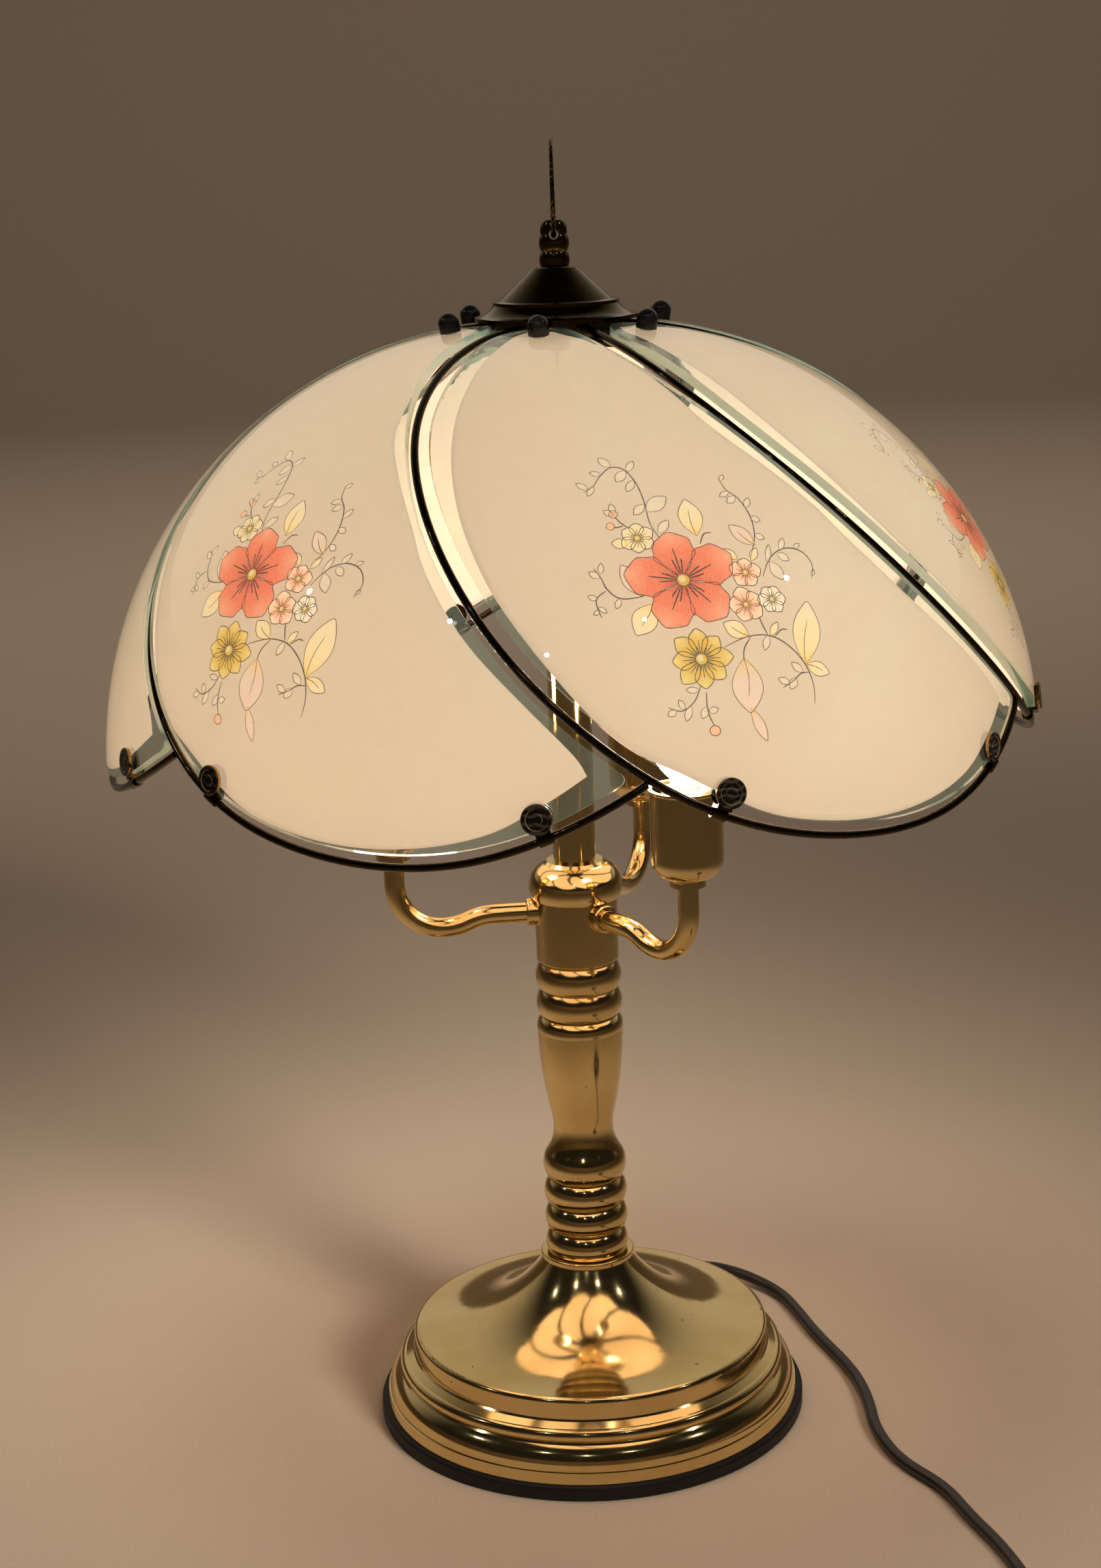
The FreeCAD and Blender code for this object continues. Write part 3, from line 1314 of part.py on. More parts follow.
def build_plug():
    """The plug on top of the coil, its blades along +X, and its tapered tail."""
    foot = s.coil_height
    half = s.plug_height / 2
    back = s.coil_x + s.plug_across - s.plug_length / 2
    front = back + s.plug_length
    middle = s.coil_y + s.plug_along
    wide = s.plug_width / 2
    narrow = wide * s.plug_taper
    corner = EDGE * 2
    body = new_body("plug_body")
    sketch = new_sketch(body, "XY_Plane", "plug_plan", foot)
    draw_outline(sketch, (
        (back, middle - narrow, s.plug_length), (front - corner, middle - wide),
        (front, middle - wide + corner), (front, middle + wide - corner),
        (front - corner, middle + wide, s.plug_length), (back, middle + narrow)))
    pad = body.newObject("PartDesign::Pad", "plug_block")
    pad.Profile = sketch
    pad.setExpression("Length", s.plug_height.text)
    tail = primitive("Cone", "plug_tail_cone", ALONG_X, Radius1=s.cord_radius + EDGE / 2,
                     Radius2=s.cord_radius + EDGE * 2, Height=s.plug_tail)
    tail.setExpression(".Placement.Base.x", (back - s.plug_tail).text)
    tail.setExpression(".Placement.Base.y", middle.text)
    tail.setExpression(".Placement.Base.z", (foot + half).text)
    keep(fuse("plug_whole", [body, tail]), "plug")
    blades = []
    for name, side in (("near_blade", -0.5), ("far_blade", 0.5)):
        blade = primitive("Box", name, Length=s.blade_length, Width=s.blade_wall,
                          Height=s.blade_width)
        centre = middle + s.blade_spacing * side
        blade.setExpression(".Placement.Base.x", front.text)
        blade.setExpression(".Placement.Base.y", (centre - s.blade_wall / 2).text)
        blade.setExpression(".Placement.Base.z", (foot + half - s.blade_width / 2).text)
        blades.append(blade)
    pair = doc.addObject("Part::Compound", "blade_pair")
    pair.Links = blades
    keep(pair, "plug_blades")


# ---------------------------------------------------------------- model

build_base()
build_rod()
build_column()
build_arms()
build_hub()
build_wires()
build_panes()
build_pane_screws()
build_clips()
build_cap()
build_finial()
build_cord()
build_plug()
doc.recompute()

for item in doc.Objects:
    if {"Invalid", "Error"} & set(item.State):
        raise RuntimeError(f"{item.Name} failed: {item.State}")
os.makedirs("parts", exist_ok=True)
for part in parts:
    shape = part.Shape
    if shape.isNull() or not shape.isValid() or shape.Volume <= 0:
        raise RuntimeError(f"{part.Label} has no valid shape")
for part in parts:
    part.Shape.exportStep(f"parts/{part.Label}.step")
print(f"{len(parts)} nodes written")
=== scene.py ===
import json
import math

import bmesh
import bpy
from mathutils import Matrix, Vector


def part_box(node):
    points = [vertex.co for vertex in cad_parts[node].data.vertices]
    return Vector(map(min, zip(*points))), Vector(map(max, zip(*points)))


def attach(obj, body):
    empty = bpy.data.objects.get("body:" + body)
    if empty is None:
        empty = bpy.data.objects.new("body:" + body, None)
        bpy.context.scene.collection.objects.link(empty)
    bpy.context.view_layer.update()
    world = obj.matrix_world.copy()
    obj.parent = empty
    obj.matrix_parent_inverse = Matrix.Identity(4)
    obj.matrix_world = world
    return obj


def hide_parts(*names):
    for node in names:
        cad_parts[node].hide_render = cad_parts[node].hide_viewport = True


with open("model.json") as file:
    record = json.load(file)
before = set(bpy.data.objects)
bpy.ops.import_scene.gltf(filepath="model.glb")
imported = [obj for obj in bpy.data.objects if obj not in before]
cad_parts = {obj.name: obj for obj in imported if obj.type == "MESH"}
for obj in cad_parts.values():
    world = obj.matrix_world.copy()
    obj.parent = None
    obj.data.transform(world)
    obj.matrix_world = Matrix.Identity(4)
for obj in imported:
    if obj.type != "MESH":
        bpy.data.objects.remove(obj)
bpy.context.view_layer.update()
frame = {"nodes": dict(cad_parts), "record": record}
nodes = frame["nodes"]

# The tulip lamp's looks. Metres, +Z up; azimuths count from the lamp's front (-Y)
# and grow towards +X, elevations are seen from the middle of the shade's dome.

MM = 0.001
TURN = 2 * math.pi


# ---------------------------------------------------------------- camera

CAMERA_PLACE = Vector((0.0, -1.1383, 0.5907))
CAMERA_ANGLES = (-0.487, 14.217, -2.038)
CAMERA_LENS = 85.31
CAMERA_SENSOR = 36.0


def studio_camera():
    """The view from the front, a little above the shade's middle."""
    yaw, pitch, roll = (math.radians(angle) for angle in CAMERA_ANGLES)
    ahead = Vector((math.sin(yaw) * math.cos(pitch), math.cos(yaw) * math.cos(pitch),
                    -math.sin(pitch)))
    level = Vector((math.cos(yaw), -math.sin(yaw), 0))
    upright = level.cross(ahead)
    across = level * math.cos(roll) + upright * math.sin(roll)
    rise = upright * math.cos(roll) - level * math.sin(roll)
    data = bpy.data.cameras.new("studio_camera")
    data.sensor_fit = "HORIZONTAL"
    data.sensor_width = CAMERA_SENSOR
    data.lens = CAMERA_LENS
    camera = bpy.data.objects.new("studio_camera", data)
    bpy.context.scene.collection.objects.link(camera)
    camera.matrix_world = Matrix.Translation(CAMERA_PLACE) @ Matrix(
        (across, rise, -ahead)).transposed().to_4x4()
    bpy.context.scene.camera = camera


studio_camera()


# ---------------------------------------------------------------- shader maths

class Value:
    """A number, colour or shader in a finish; arithmetic on it adds Math nodes."""

    def __init__(self, finish, socket):
        self.finish = finish
        self.socket = socket

    def math(self, operation, *others):
        return self.finish.node("Math", {"operation": operation},
                                dict(enumerate((self,) + others)))

    def __add__(self, other):
        return self.math("ADD", other)

    def __mul__(self, other):
        return self.math("MULTIPLY", other)

    def __rsub__(self, other):
        return self * -1 + other

    __radd__ = __add__
    __rmul__ = __mul__

    def soft(self, low, high):
        """A smooth step from 0 at low to 1 at high."""
        return self.finish.node("MapRange", {"interpolation_type": "SMOOTHSTEP"},
                                {"Value": self, "From Min": low, "From Max": high})


class Finish:
    """A procedural material, or the studio's air, under construction."""

    def __init__(self, name, kind=bpy.data.materials):
        self.material = kind.new(name)
        self.material.use_nodes = True
        self.tree = self.material.node_tree
        self.tree.nodes.clear()

    def node(self, kind, settings=None, sockets=None, out=0):
        made = self.tree.nodes.new("ShaderNode" + kind)
        for key, setting in (settings or {}).items():
            setattr(made, key, setting)
        for key, value in (sockets or {}).items():
            if isinstance(value, Value):
                self.tree.links.new(value.socket, made.inputs[key])
            else:
                made.inputs[key].default_value = value
        return Value(self, made.outputs[out]) if made.outputs else None

    def place(self, scale=(1, 1, 1)):
        """The piece's own coordinates, stretched."""
        spot = self.node("TexCoord", out=3)
        return self.node("Mapping", sockets={"Vector": spot, "Scale": scale})

    def noise(self, scale, detail, rough=0.5, at=None):
        return self.node("TexNoise", sockets={
            "Vector": at or self.place(), "Scale": scale, "Detail": detail,
            "Roughness": rough})

    def blend(self, share, first, second):
        """Two colours mixed by a share."""
        return self.node("Mix", {"data_type": "RGBA"}, {0: share, 6: first, 7: second}, out=2)

    def bump(self, height, depth, strength):
        return self.node("Bump", sockets={"Height": height, "Distance": depth,
                                          "Strength": strength})

    def surface(self, **sockets):
        names = {key.replace("_", " "): value for key, value in sockets.items()}
        return self.node("BsdfPrincipled", sockets=names)

    def done(self, shader, **volume):
        self.node("OutputMaterial", sockets={"Surface": shader, **volume})
        return self.material


def rgb(red, green, blue):
    """A colour from its 0-255 screen values."""
    linear = []
    for channel in (red, green, blue):
        share = channel / 255
        linear.append(share / 12.92 if share <= 0.04045 else ((share + 0.055) / 1.055) ** 2.4)
    return (*linear, 1.0)


# ---------------------------------------------------------------- finishes

FOCUS = Vector((0, 0, 0.320))
BULB_SPOTS = [sum(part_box(f"bulb_glass_{number}"), Vector()) / 2 for number in (1, 2, 3)]
# Strengths of the painted glow: light that the frosting and the ink give off of their own.
FROST_PAINTED_GLOW = 0.95
INK_PAINTED_GLOW = 1.05
BULB_GLOW = 12.0
GLASS_GREEN = 18.0


def brass_finish():
    """Lacquered brass, polished bright, with faint hazing, drawn lines and a few age specks."""
    m = Finish("polished_brass")
    haze = m.noise(26.0, 4.0, 0.6).soft(0.35, 0.75)
    streaks = m.noise(60.0, 3.0, 0.6, m.place((1.0, 1.0, 9.0))).soft(0.3, 0.8)
    specks = m.noise(420.0, 2.0, 0.4).soft(0.71, 0.77) * m.noise(38.0, 2.0).soft(0.5, 0.62)
    tone = m.blend(haze, rgb(230, 206, 147), rgb(219, 190, 127))
    tone = m.blend(specks * 0.8, tone, rgb(64, 40, 18))
    gloss = haze * 0.05 + streaks * 0.04 + specks * 0.3 + 0.08
    waves = m.noise(34.0, 2.0, 0.4)
    return m.done(m.surface(Base_Color=tone, Metallic=1.0, Roughness=gloss,
                            Normal=m.bump(waves, 0.25 * MM, 0.35)))


def bronze_finish():
    """Smooth dark bronze lacquer with an olive cast, a little browner where it is worn."""
    m = Finish("dark_bronze")
    wear = m.noise(22.0, 3.0, 0.5).soft(0.3, 0.8)
    grain = m.noise(640.0, 2.0, 0.5)
    tone = m.blend(wear, rgb(74, 62, 40), rgb(92, 77, 48))
    return m.done(m.surface(Base_Color=tone, Metallic=1.0,
                            Roughness=grain * 0.05 + wear * 0.05 + 0.12,
                            Normal=m.bump(grain, 0.01 * MM, 0.2)))


def wire_finish():
    """Black nickel on the bent wires, polished, with faint drawing marks."""
    m = Finish("black_nickel")
    marks = m.noise(300.0, 3.0, 0.6).soft(0.3, 0.8)
    tone = m.blend(marks, rgb(66, 57, 46), rgb(84, 72, 56))
    return m.done(m.surface(Base_Color=tone, Metallic=1.0, Roughness=marks * 0.06 + 0.07))


def enamel_finish():
    """Glossy black plastic of the nuts."""
    m = Finish("black_enamel")
    scuffs = m.noise(240.0, 3.0, 0.6).soft(0.45, 0.8)
    tone = m.blend(scuffs, rgb(9, 8, 8), rgb(22, 20, 19))
    return m.done(m.surface(Base_Color=tone, Roughness=scuffs * 0.22 + 0.12,
                            Normal=m.bump(scuffs, 0.02 * MM, 0.5)))


def facing_out(m):
    """How squarely a shade piece's face looks away from the middle of the dome."""
    reach = m.node("VectorMath", {"operation": "SUBTRACT"},
                   {0: m.node("TexCoord", out=3), 1: FOCUS})
    outward = m.node("VectorMath", {"operation": "NORMALIZE"}, {0: reach})
    facing = m.node("VectorMath", {"operation": "DOT_PRODUCT"},
                    {0: outward, 1: m.node("TexCoord", out=1)}, out=1)
    return facing.math("ABSOLUTE")


def medallion_finish():
    """Black faces with a fine raised pattern, its raised lines painted lighter as a painted
    highlight, on brass buttons.
    """
    m = Finish("black_medallion")
    waves = m.node("TexWave", {"bands_direction": "Z"}, {
        "Vector": m.place(), "Scale": 96.0, "Distortion": 3.2, "Detail": 0.0,
        "Detail Scale": 2.4}, out=1)
    relief_and_painted_highlight = waves.soft(0.62, 0.86)
    face = facing_out(m).soft(0.55, 0.75)
    # Raised lines painted a lighter tone: a painted highlight on the relief, which also drives the
    # bump.
    black = m.blend(relief_and_painted_highlight, rgb(8, 7, 7), rgb(46, 41, 34))
    tone = m.blend(face, rgb(190, 150, 92), black)
    return m.done(m.surface(Base_Color=tone, Metallic=face * -0.7 + 1,
                            Roughness=face * 0.12 + 0.16,
                            Normal=m.bump(relief_and_painted_highlight, 0.25 * MM, 0.7)))


def glass_finish():
    """Clear float glass whose ground edges catch the light in pale green."""
    m = Finish("shade_glass")
    smear = m.noise(18.0, 4.0, 0.6).soft(0.4, 0.8)
    clear = m.surface(Base_Color=rgb(243, 250, 246), Roughness=smear * 0.012,
                      Transmission_Weight=1.0, IOR=1.5)
    edge = 1 - facing_out(m).soft(0.45, 0.6)
    grit = m.noise(700.0, 3.0, 0.6)
    tone = m.blend(grit.soft(0.3, 0.7), rgb(184, 218, 200), rgb(212, 232, 220))
    ground = m.surface(Base_Color=tone, Roughness=0.15, Coat_Weight=1.0,
                       Normal=m.bump(grit, 0.05 * MM, 0.5))
    veil = m.node("BsdfTranslucent", sockets={"Color": rgb(214, 232, 222)})
    rim = m.node("MixShader", sockets={0: 0.6, 1: ground, 2: veil})
    green = m.node("VolumeAbsorption", sockets={
        "Color": rgb(96, 208, 160), "Density": GLASS_GREEN})
    return m.done(m.node("MixShader", sockets={
        0: edge * 0.45 + smear * 0.08 + 0.04, 1: clear, 2: rim}), Volume=green)


def frost_finish():
    """Cream frosting that gives off a painted glow of its own, warmest low on the shade and
    brightest round the bulbs.
    """
    m = Finish("cream_frost_painted_glow")
    cloud = m.noise(9.0, 3.0, 0.55).soft(0.3, 0.75)
    grit = m.noise(1300.0, 2.0, 0.5)
    here = m.place()
    height = m.node("SeparateXYZ", sockets={0: here}, out=2)
    # Painted glow colour: warmer low on the shade.
    low = 1 - height.soft(0.33, 0.47)
    tone = m.blend(cloud, rgb(244, 234, 220), rgb(240, 228, 212))
    tone = m.blend(grit.soft(0.35, 0.7) * 0.25, tone, rgb(228, 208, 184))
    # Painted hot spots: the glow is brighter round each bulb's middle.
    painted_bulb_halo = 0
    for spot in BULB_SPOTS:
        far = m.node("VectorMath", {"operation": "DISTANCE"}, {0: here, 1: spot}, out=1)
        painted_bulb_halo = 1 - far.soft(0.07, 0.15) + painted_bulb_halo
    glow = m.blend(low, rgb(236, 197, 172), rgb(245, 202, 173))
    glow = m.blend(painted_bulb_halo * 0.6, glow, rgb(255, 220, 196))
    # The frosting emits this painted glow itself, whatever light falls on it.
    paint = m.surface(Base_Color=tone, Roughness=0.6, Emission_Color=glow,
                      Emission_Strength=FROST_PAINTED_GLOW, Normal=m.bump(grit, 0.02 * MM, 0.4))
    veil = m.node("BsdfTranslucent", sockets={"Color": rgb(244, 234, 220)})
    return m.done(m.node("MixShader", sockets={0: 0.45, 1: paint, 2: veil}))


def print_finish():
    """The flowers' transfer: each motif's own tint, which also gives off a painted glow, thin
    where its wash is pale.
    """
    m = Finish("floral_transfer_painted_glow")
    tint = m.node("Attribute", {"attribute_name": "tint"})
    cover = m.node("Attribute", {"attribute_name": "tint"}, out=3)
    grit = m.noise(1500.0, 2.0, 0.5).soft(0.25, 0.7)
    tone = m.blend(grit * 0.12, tint, rgb(240, 222, 198))
    # Painted glow: the ink emits light in its own tint.
    paint = m.surface(Base_Color=tone, Roughness=0.6, Emission_Color=tone,
                      Emission_Strength=INK_PAINTED_GLOW, Alpha=cover)
    return m.done(paint)


def bulb_finish():
    """Frosted bulb glass, lit from inside."""
    m = Finish("lit_bulb")
    height = m.node("SeparateXYZ", sockets={0: m.place()}, out=2)
    core = height.soft(0.318, 0.35)
    glow = m.blend(core, rgb(255, 238, 216), rgb(255, 248, 240))
    return m.done(m.surface(Base_Color=rgb(250, 240, 220), Roughness=0.35,
                            Emission_Color=glow, Emission_Strength=BULB_GLOW))


def plain_finish(name, dark, light, rough, scale, metallic=0.0, depth=0.05):
    """A simple moulded, cast or plated surface with its own grain."""
    m = Finish(name)
    grain = m.noise(scale, 4.0, 0.6)
    tone = m.blend(grain.soft(0.3, 0.7), dark, light)
    return m.done(m.surface(Base_Color=tone, Metallic=metallic, Roughness=grain * 0.2 + rough,
                            Normal=m.bump(grain, depth * MM, 0.6)))


FINISHES = {
    "polished_brass": brass_finish(),
    "dark_bronze": bronze_finish(),
    "black_enamel": enamel_finish(),
    "shade_glass": glass_finish(),
    "bulb_glass": bulb_finish(),
    "black_rubber": plain_finish("black_rubber", rgb(5, 5, 5), rgb(12, 11, 10), 0.5, 260.0),
    "cast_iron": plain_finish(
        "cast_iron", rgb(44, 42, 40), rgb(74, 70, 66), 0.55, 180.0, 0.6, 0.3),
    "zinc_steel": plain_finish(
        "zinc_steel", rgb(150, 150, 148), rgb(186, 186, 182), 0.28, 90.0, 1.0),
    "black_plastic": plain_finish(
        "black_plastic", rgb(20, 20, 20), rgb(32, 32, 32), 0.38, 400.0),
    "nickel_cap": plain_finish(
        "nickel_cap", rgb(170, 166, 156), rgb(206, 200, 188), 0.2, 300.0, 1.0),
    "socket_plastic": plain_finish(
        "socket_plastic", rgb(222, 216, 200), rgb(236, 232, 220), 0.45, 220.0),
    "cord_sheath": plain_finish("cord_sheath", rgb(20, 14, 11), rgb(34, 25, 19), 0.26, 160.0),
    "plug_plastic": plain_finish("plug_plastic", rgb(30, 22, 16), rgb(46, 34, 26), 0.32, 300.0),
    "plug_blade": plain_finish(
        "plug_blade", rgb(196, 172, 110), rgb(214, 192, 130), 0.22, 200.0, 1.0),
}
WIRE = wire_finish()
OWN_FINISHES = {"clip_medallions": medallion_finish()}


def finish_nodes():
    """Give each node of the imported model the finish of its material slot, or its own."""
    for part in frame["record"]["subparts"]:
        node = part["node"]
        slots = nodes[node].data.materials
        slots.clear()
        shared = WIRE if node.startswith("petal_wire") else FINISHES[part["material_slot"]]
        slots.append(OWN_FINISHES.get(node, shared))


finish_nodes()


# ---------------------------------------------------------------- builders

def smooth_object(name, shape, finish):
    """Turn a bmesh into an object with one finish and smooth shading."""
    data = bpy.data.meshes.new(name)
    shape.to_mesh(data)
    shape.free()
    for face in data.polygons:
        face.use_smooth = True
    data.materials.append(finish)
    made = bpy.data.objects.new(name, data)
    bpy.context.scene.collection.objects.link(made)
    return made


def piece(name, shape, finish, body, replaced=()):
    """Turn a bmesh into a piece that rides on a body."""
    bmesh.ops.recalc_face_normals(shape, faces=shape.faces)
    made = smooth_object(name, shape, finish)
    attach(made, body)
    if replaced:
        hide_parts(*replaced)
    return made


def smooth_line(spots, share):
    """The point at a share of the way along a smooth line through spots."""
    place = share * (len(spots) - 1)
    i = min(int(place), len(spots) - 2)
    t = place - i
    a, b, c, d = (Vector(spots[min(max(i + k, 0), len(spots) - 1)]) for k in (-1, 0, 1, 2))
    return (b * 2 + (c - a) * t + (a * 2 - b * 5 + c * 4 - d) * t * t
            + (b * 3 - a - c * 3 + d) * t ** 3) / 2


# ---------------------------------------------------------------- shade

DOME_OFFSET = 16 * MM
FROST_ARC = 184.12 * MM
FROST_DEPTH = 0.25 * MM
PANE_SHIFT = Vector((math.sin(math.radians(-20)), -math.cos(math.radians(-20)), 0)) * 3 * MM
PETALS = 6


def pane_point(azimuth, elevation, arc):
    """A point of the first pane's dome, at an azimuth and elevation in degrees."""
    turn, rise = math.radians(azimuth), math.radians(elevation)
    reach = DOME_OFFSET * math.cos(rise) + math.sqrt(
        arc * arc - (DOME_OFFSET * math.sin(rise)) ** 2)
    level = reach * math.cos(rise)
    return FOCUS + PANE_SHIFT + Vector((
        level * math.sin(turn), -level * math.cos(turn), reach * math.sin(rise)))


# The frosted field's left and right edges, from its top to its sharp lower corner.
FROST_LEFT = ((-17.0, 79.0), (-21.5, 77.0), (-22.5, 74.0), (-22.9, 66.0), (-20.8, 55.0),
              (-18.3, 47.5), (-14.9, 40.1), (-11.6, 34.4), (-7.5, 28.4), (1.7, 17.4), (6.8, 12.7),
              (12.0, 9.9), (16.3, 7.5), (23.0, 4.2), (33.0, 2.2), (42.8, 2.2), (51.4, 3.9),
              (57.6, 7.0), (62.5, 10.0))
FROST_RIGHT = ((-1.0, 79.0), (7.0, 76.5), (14.0, 74.0), (19.5, 69.0), (23.5, 64.0), (26.5, 58.0),
               (28.5, 53.0), (31.0, 49.0), (33.5, 46.0), (39.0, 38.7), (42.5, 32.8), (48.5, 25.0),
               (56.0, 17.5), (61.0, 12.4), (62.5, 10.0))


def frosted_field():
    """The first pane's frosting, a thin sheet just inside the glass wall's inner face."""
    shape = bmesh.new()
    bmesh.ops.create_grid(shape, x_segments=40, y_segments=96, size=1.0)
    for vert in shape.verts:
        across, down = (vert.co.x + 1) / 2, (1 - vert.co.y) / 2
        left = smooth_line(FROST_LEFT, down)
        right = smooth_line(FROST_RIGHT, down)
        spot = left.lerp(right, across)
        vert.co = pane_point(spot.x, spot.y, FROST_ARC)
    bmesh.ops.remove_doubles(shape, verts=shape.verts, dist=0.02 * MM)
    bmesh.ops.recalc_face_normals(shape, faces=shape.faces)
    bmesh.ops.solidify(shape, geom=shape.faces, thickness=FROST_DEPTH)
    return shape


def turn_petal(shape, number):
    """Turn a shape from the first petal to another one."""
    bmesh.ops.rotate(shape, verts=shape.verts, cent=(0, 0, 0),
                     matrix=Matrix.Rotation(TURN / PETALS * number, 3, "Z"))


def build_fields():
    frost = frost_finish()
    for number in range(PETALS):
        shape = frosted_field()
        turn_petal(shape, number)
        piece(f"frosted_field_{number + 1}", shape, frost, "shade")


build_fields()


# ---------------------------------------------------------------- flower transfers

SPRAY_MIDDLE = (22.0, 36.0)
SPRAY_REACH = 198
INK_BASE, INK_LAYER = 0.02, 0.012
SEPIA = rgb(48, 29, 20)
CORAL, CORAL_DEEP, CORAL_PALE = rgb(232, 108, 70), rgb(176, 44, 28), rgb(246, 172, 132)
OCHRE, OCHRE_DEEP, OCHRE_PALE = rgb(214, 162, 52), rgb(128, 76, 20), rgb(238, 210, 132)
CREAM, PEARL, UMBER = rgb(244, 226, 196), rgb(226, 196, 140), rgb(92, 52, 30)
BLUSH, MAUVE = rgb(232, 172, 150), rgb(206, 172, 156)


def leaning(tint, cover):
    """A tint with how thickly it is laid on."""
    return (*tint[:3], cover)


def spray_point(across, up, lift):
    """A point of the transfer from its place on the panel in mm, in a thin layer of ink."""
    turn, rise = (math.radians(angle) for angle in SPRAY_MIDDLE)
    ahead = Vector((math.cos(rise) * math.sin(turn), -math.cos(rise) * math.cos(turn),
                    math.sin(rise)))
    side = Vector((math.cos(turn), math.sin(turn), 0))
    ray = ahead * SPRAY_REACH + side * across + ahead.cross(side) * up
    azimuth = math.degrees(math.atan2(ray.x, -ray.y))
    elevation = math.degrees(math.atan2(ray.z, math.hypot(ray.x, ray.y)))
    return pane_point(azimuth, elevation, FROST_ARC + (INK_BASE + INK_LAYER * lift) * MM)


class Spray:
    """The ink of one transfer: washes and lines on the panel's own plane."""

    def __init__(self):
        self.shape = bmesh.new()
        self.tint = self.shape.verts.layers.float_color.new("tint")

    def sheet(self, along, across, lift, place, paint):
        """A grid of ink; place and paint take shares along and across it."""
        made = bmesh.ops.create_grid(self.shape, x_segments=along, y_segments=across, size=1.0)
        for vert in made["verts"]:
            far, wide = (vert.co.x + 1) / 2, vert.co.y
            spot = place(far, wide)
            vert[self.tint] = paint(far, abs(wide))
            vert.co = spray_point(spot.x, spot.y, lift)

    def line(self, spots, width, lift, steps=0):
        """A pen stroke that thins out at both ends."""
        steps = steps or len(spots) * 6

        def place(far, wide):
            here = smooth_line(spots, far)
            ahead = smooth_line(spots, min(far + 0.01, 1)) - smooth_line(spots, max(far - 0.01, 0))
            thin = 0.35 + 0.65 * math.sin(math.pi * far) ** 0.5
            return here + ahead.normalized().orthogonal() * wide * width / 2 * thin

        self.sheet(steps, 1, lift, place, lambda far, wide: leaning(SEPIA, 1.0))

    def petal(self, root, tip, width, tints, lift, blunt, frill=0.0, edge=0.36):
        """A petal or leaf from its root to its tip, with a shaded root and an inked edge."""
        root, tip = Vector(root), Vector(tip)
        ahead = tip - root
        side = ahead.orthogonal().normalized()
        deep, main, pale = tints

        def half(far):
            swell = math.sin(math.pi * far ** (0.7 + blunt)) ** 0.85
            return width / 2 * swell * (1 + frill * math.sin(far * 17))

        def place(far, wide):
            return root + ahead * far + side * wide * half(far)

        def paint(far, wide):
            first = Vector(deep).lerp(Vector(main), min(far * 2.6, 1))
            return tuple(first.lerp(Vector(pale), max(far - 0.55, 0) * 1.5 * (1 - wide * 0.6)))

        self.sheet(9, 6, lift, place, paint)
        rim = [place(share / 10, -1) for share in range(11)]
        rim += [place(share / 10, 1) for share in range(9, -1, -1)]
        self.line(rim, edge, lift + 0.5, steps=44)

    def vein(self, root, tip, lift):
        """The middle line of a leaf."""
        root, tip = Vector(root), Vector(tip)
        middle = root.lerp(tip, 0.35) + (tip - root).orthogonal() * 0.04
        self.line([root, middle, root.lerp(tip, 0.7)], 0.3, lift)

    def bloom(self, middle, reach, petals, turn, tints, fullness, lift, heart, frill=0.0):
        """A flower: petals round a heart, with shading lines from its middle."""
        middle = Vector(middle)
        for number in range(petals):
            angle = math.radians(turn + 360 / petals * number)
            way = Vector((math.cos(angle), math.sin(angle)))
            long = reach * (1 + 0.06 * math.sin(number * 2.4 + turn))
            tip = middle + way * long
            self.petal(middle, tip, reach * fullness, tints, lift + 0.25 * (number % 2), 0.75,
                       frill)
            for lean in (-0.22, 0.0, 0.2):
                swing = Matrix.Rotation(lean, 2) @ way
                self.line([middle + swing * reach * 0.12, middle + swing * reach * 0.35,
                           middle + way.lerp(swing, 0.9) * reach * (0.62 - abs(lean))],
                          reach * 0.022 + 0.08, lift + 1)
        self.disc(middle, heart, UMBER, lift + 1.3)
        self.disc(middle, heart * 0.86, OCHRE, lift + 1.6)
        self.disc(middle + Vector((-0.12, 0.14)) * heart, heart * 0.5, PEARL, lift + 1.9)

    def disc(self, middle, reach, tint, lift):
        """A round dot."""
        middle = Vector(middle)

        def place(far, wide):
            angle = math.pi * (wide + 1)
            return middle + Vector((math.cos(angle), math.sin(angle))) * reach * far

        self.sheet(3, 16, lift, place, lambda far, wide: leaning(tint, 1.0))

    def berry(self, middle, reach, tint):
        """A dot with an inked edge."""
        self.disc(middle, reach, SEPIA, 3)
        self.disc(middle, reach * 0.84, tint, 3.5)

    def leaflets(self, spots, tints):
        """Small outlined leaves, each given by its root, tip and width."""
        for root, tip, width in spots:
            self.petal(root, tip, width, tints, 3, 0.35, edge=0.32)


CORALS = (leaning(CORAL_DEEP, 1.0), leaning(CORAL, 0.97), leaning(CORAL_PALE, 0.92))
OCHRES = (leaning(OCHRE_DEEP, 0.95), leaning(OCHRE, 0.92), leaning(OCHRE_PALE, 0.8))
PALES = (leaning(OCHRE, 0.75), leaning(OCHRE_PALE, 0.3), leaning(CREAM, 0.1))
MIXED = (leaning(CORAL, 0.9), leaning(CORAL_PALE, 0.75), leaning(CREAM, 0.5))
WHITES = (leaning(OCHRE_PALE, 0.5), leaning(CREAM, 0.3), leaning(CREAM, 0.15))
BLUSHES = (leaning(OCHRE, 0.6), leaning(MAUVE, 0.45), leaning(BLUSH, 0.35))
BARE = (leaning(BLUSH, 0.3), leaning(CREAM, 0.1), leaning(CREAM, 0.05))


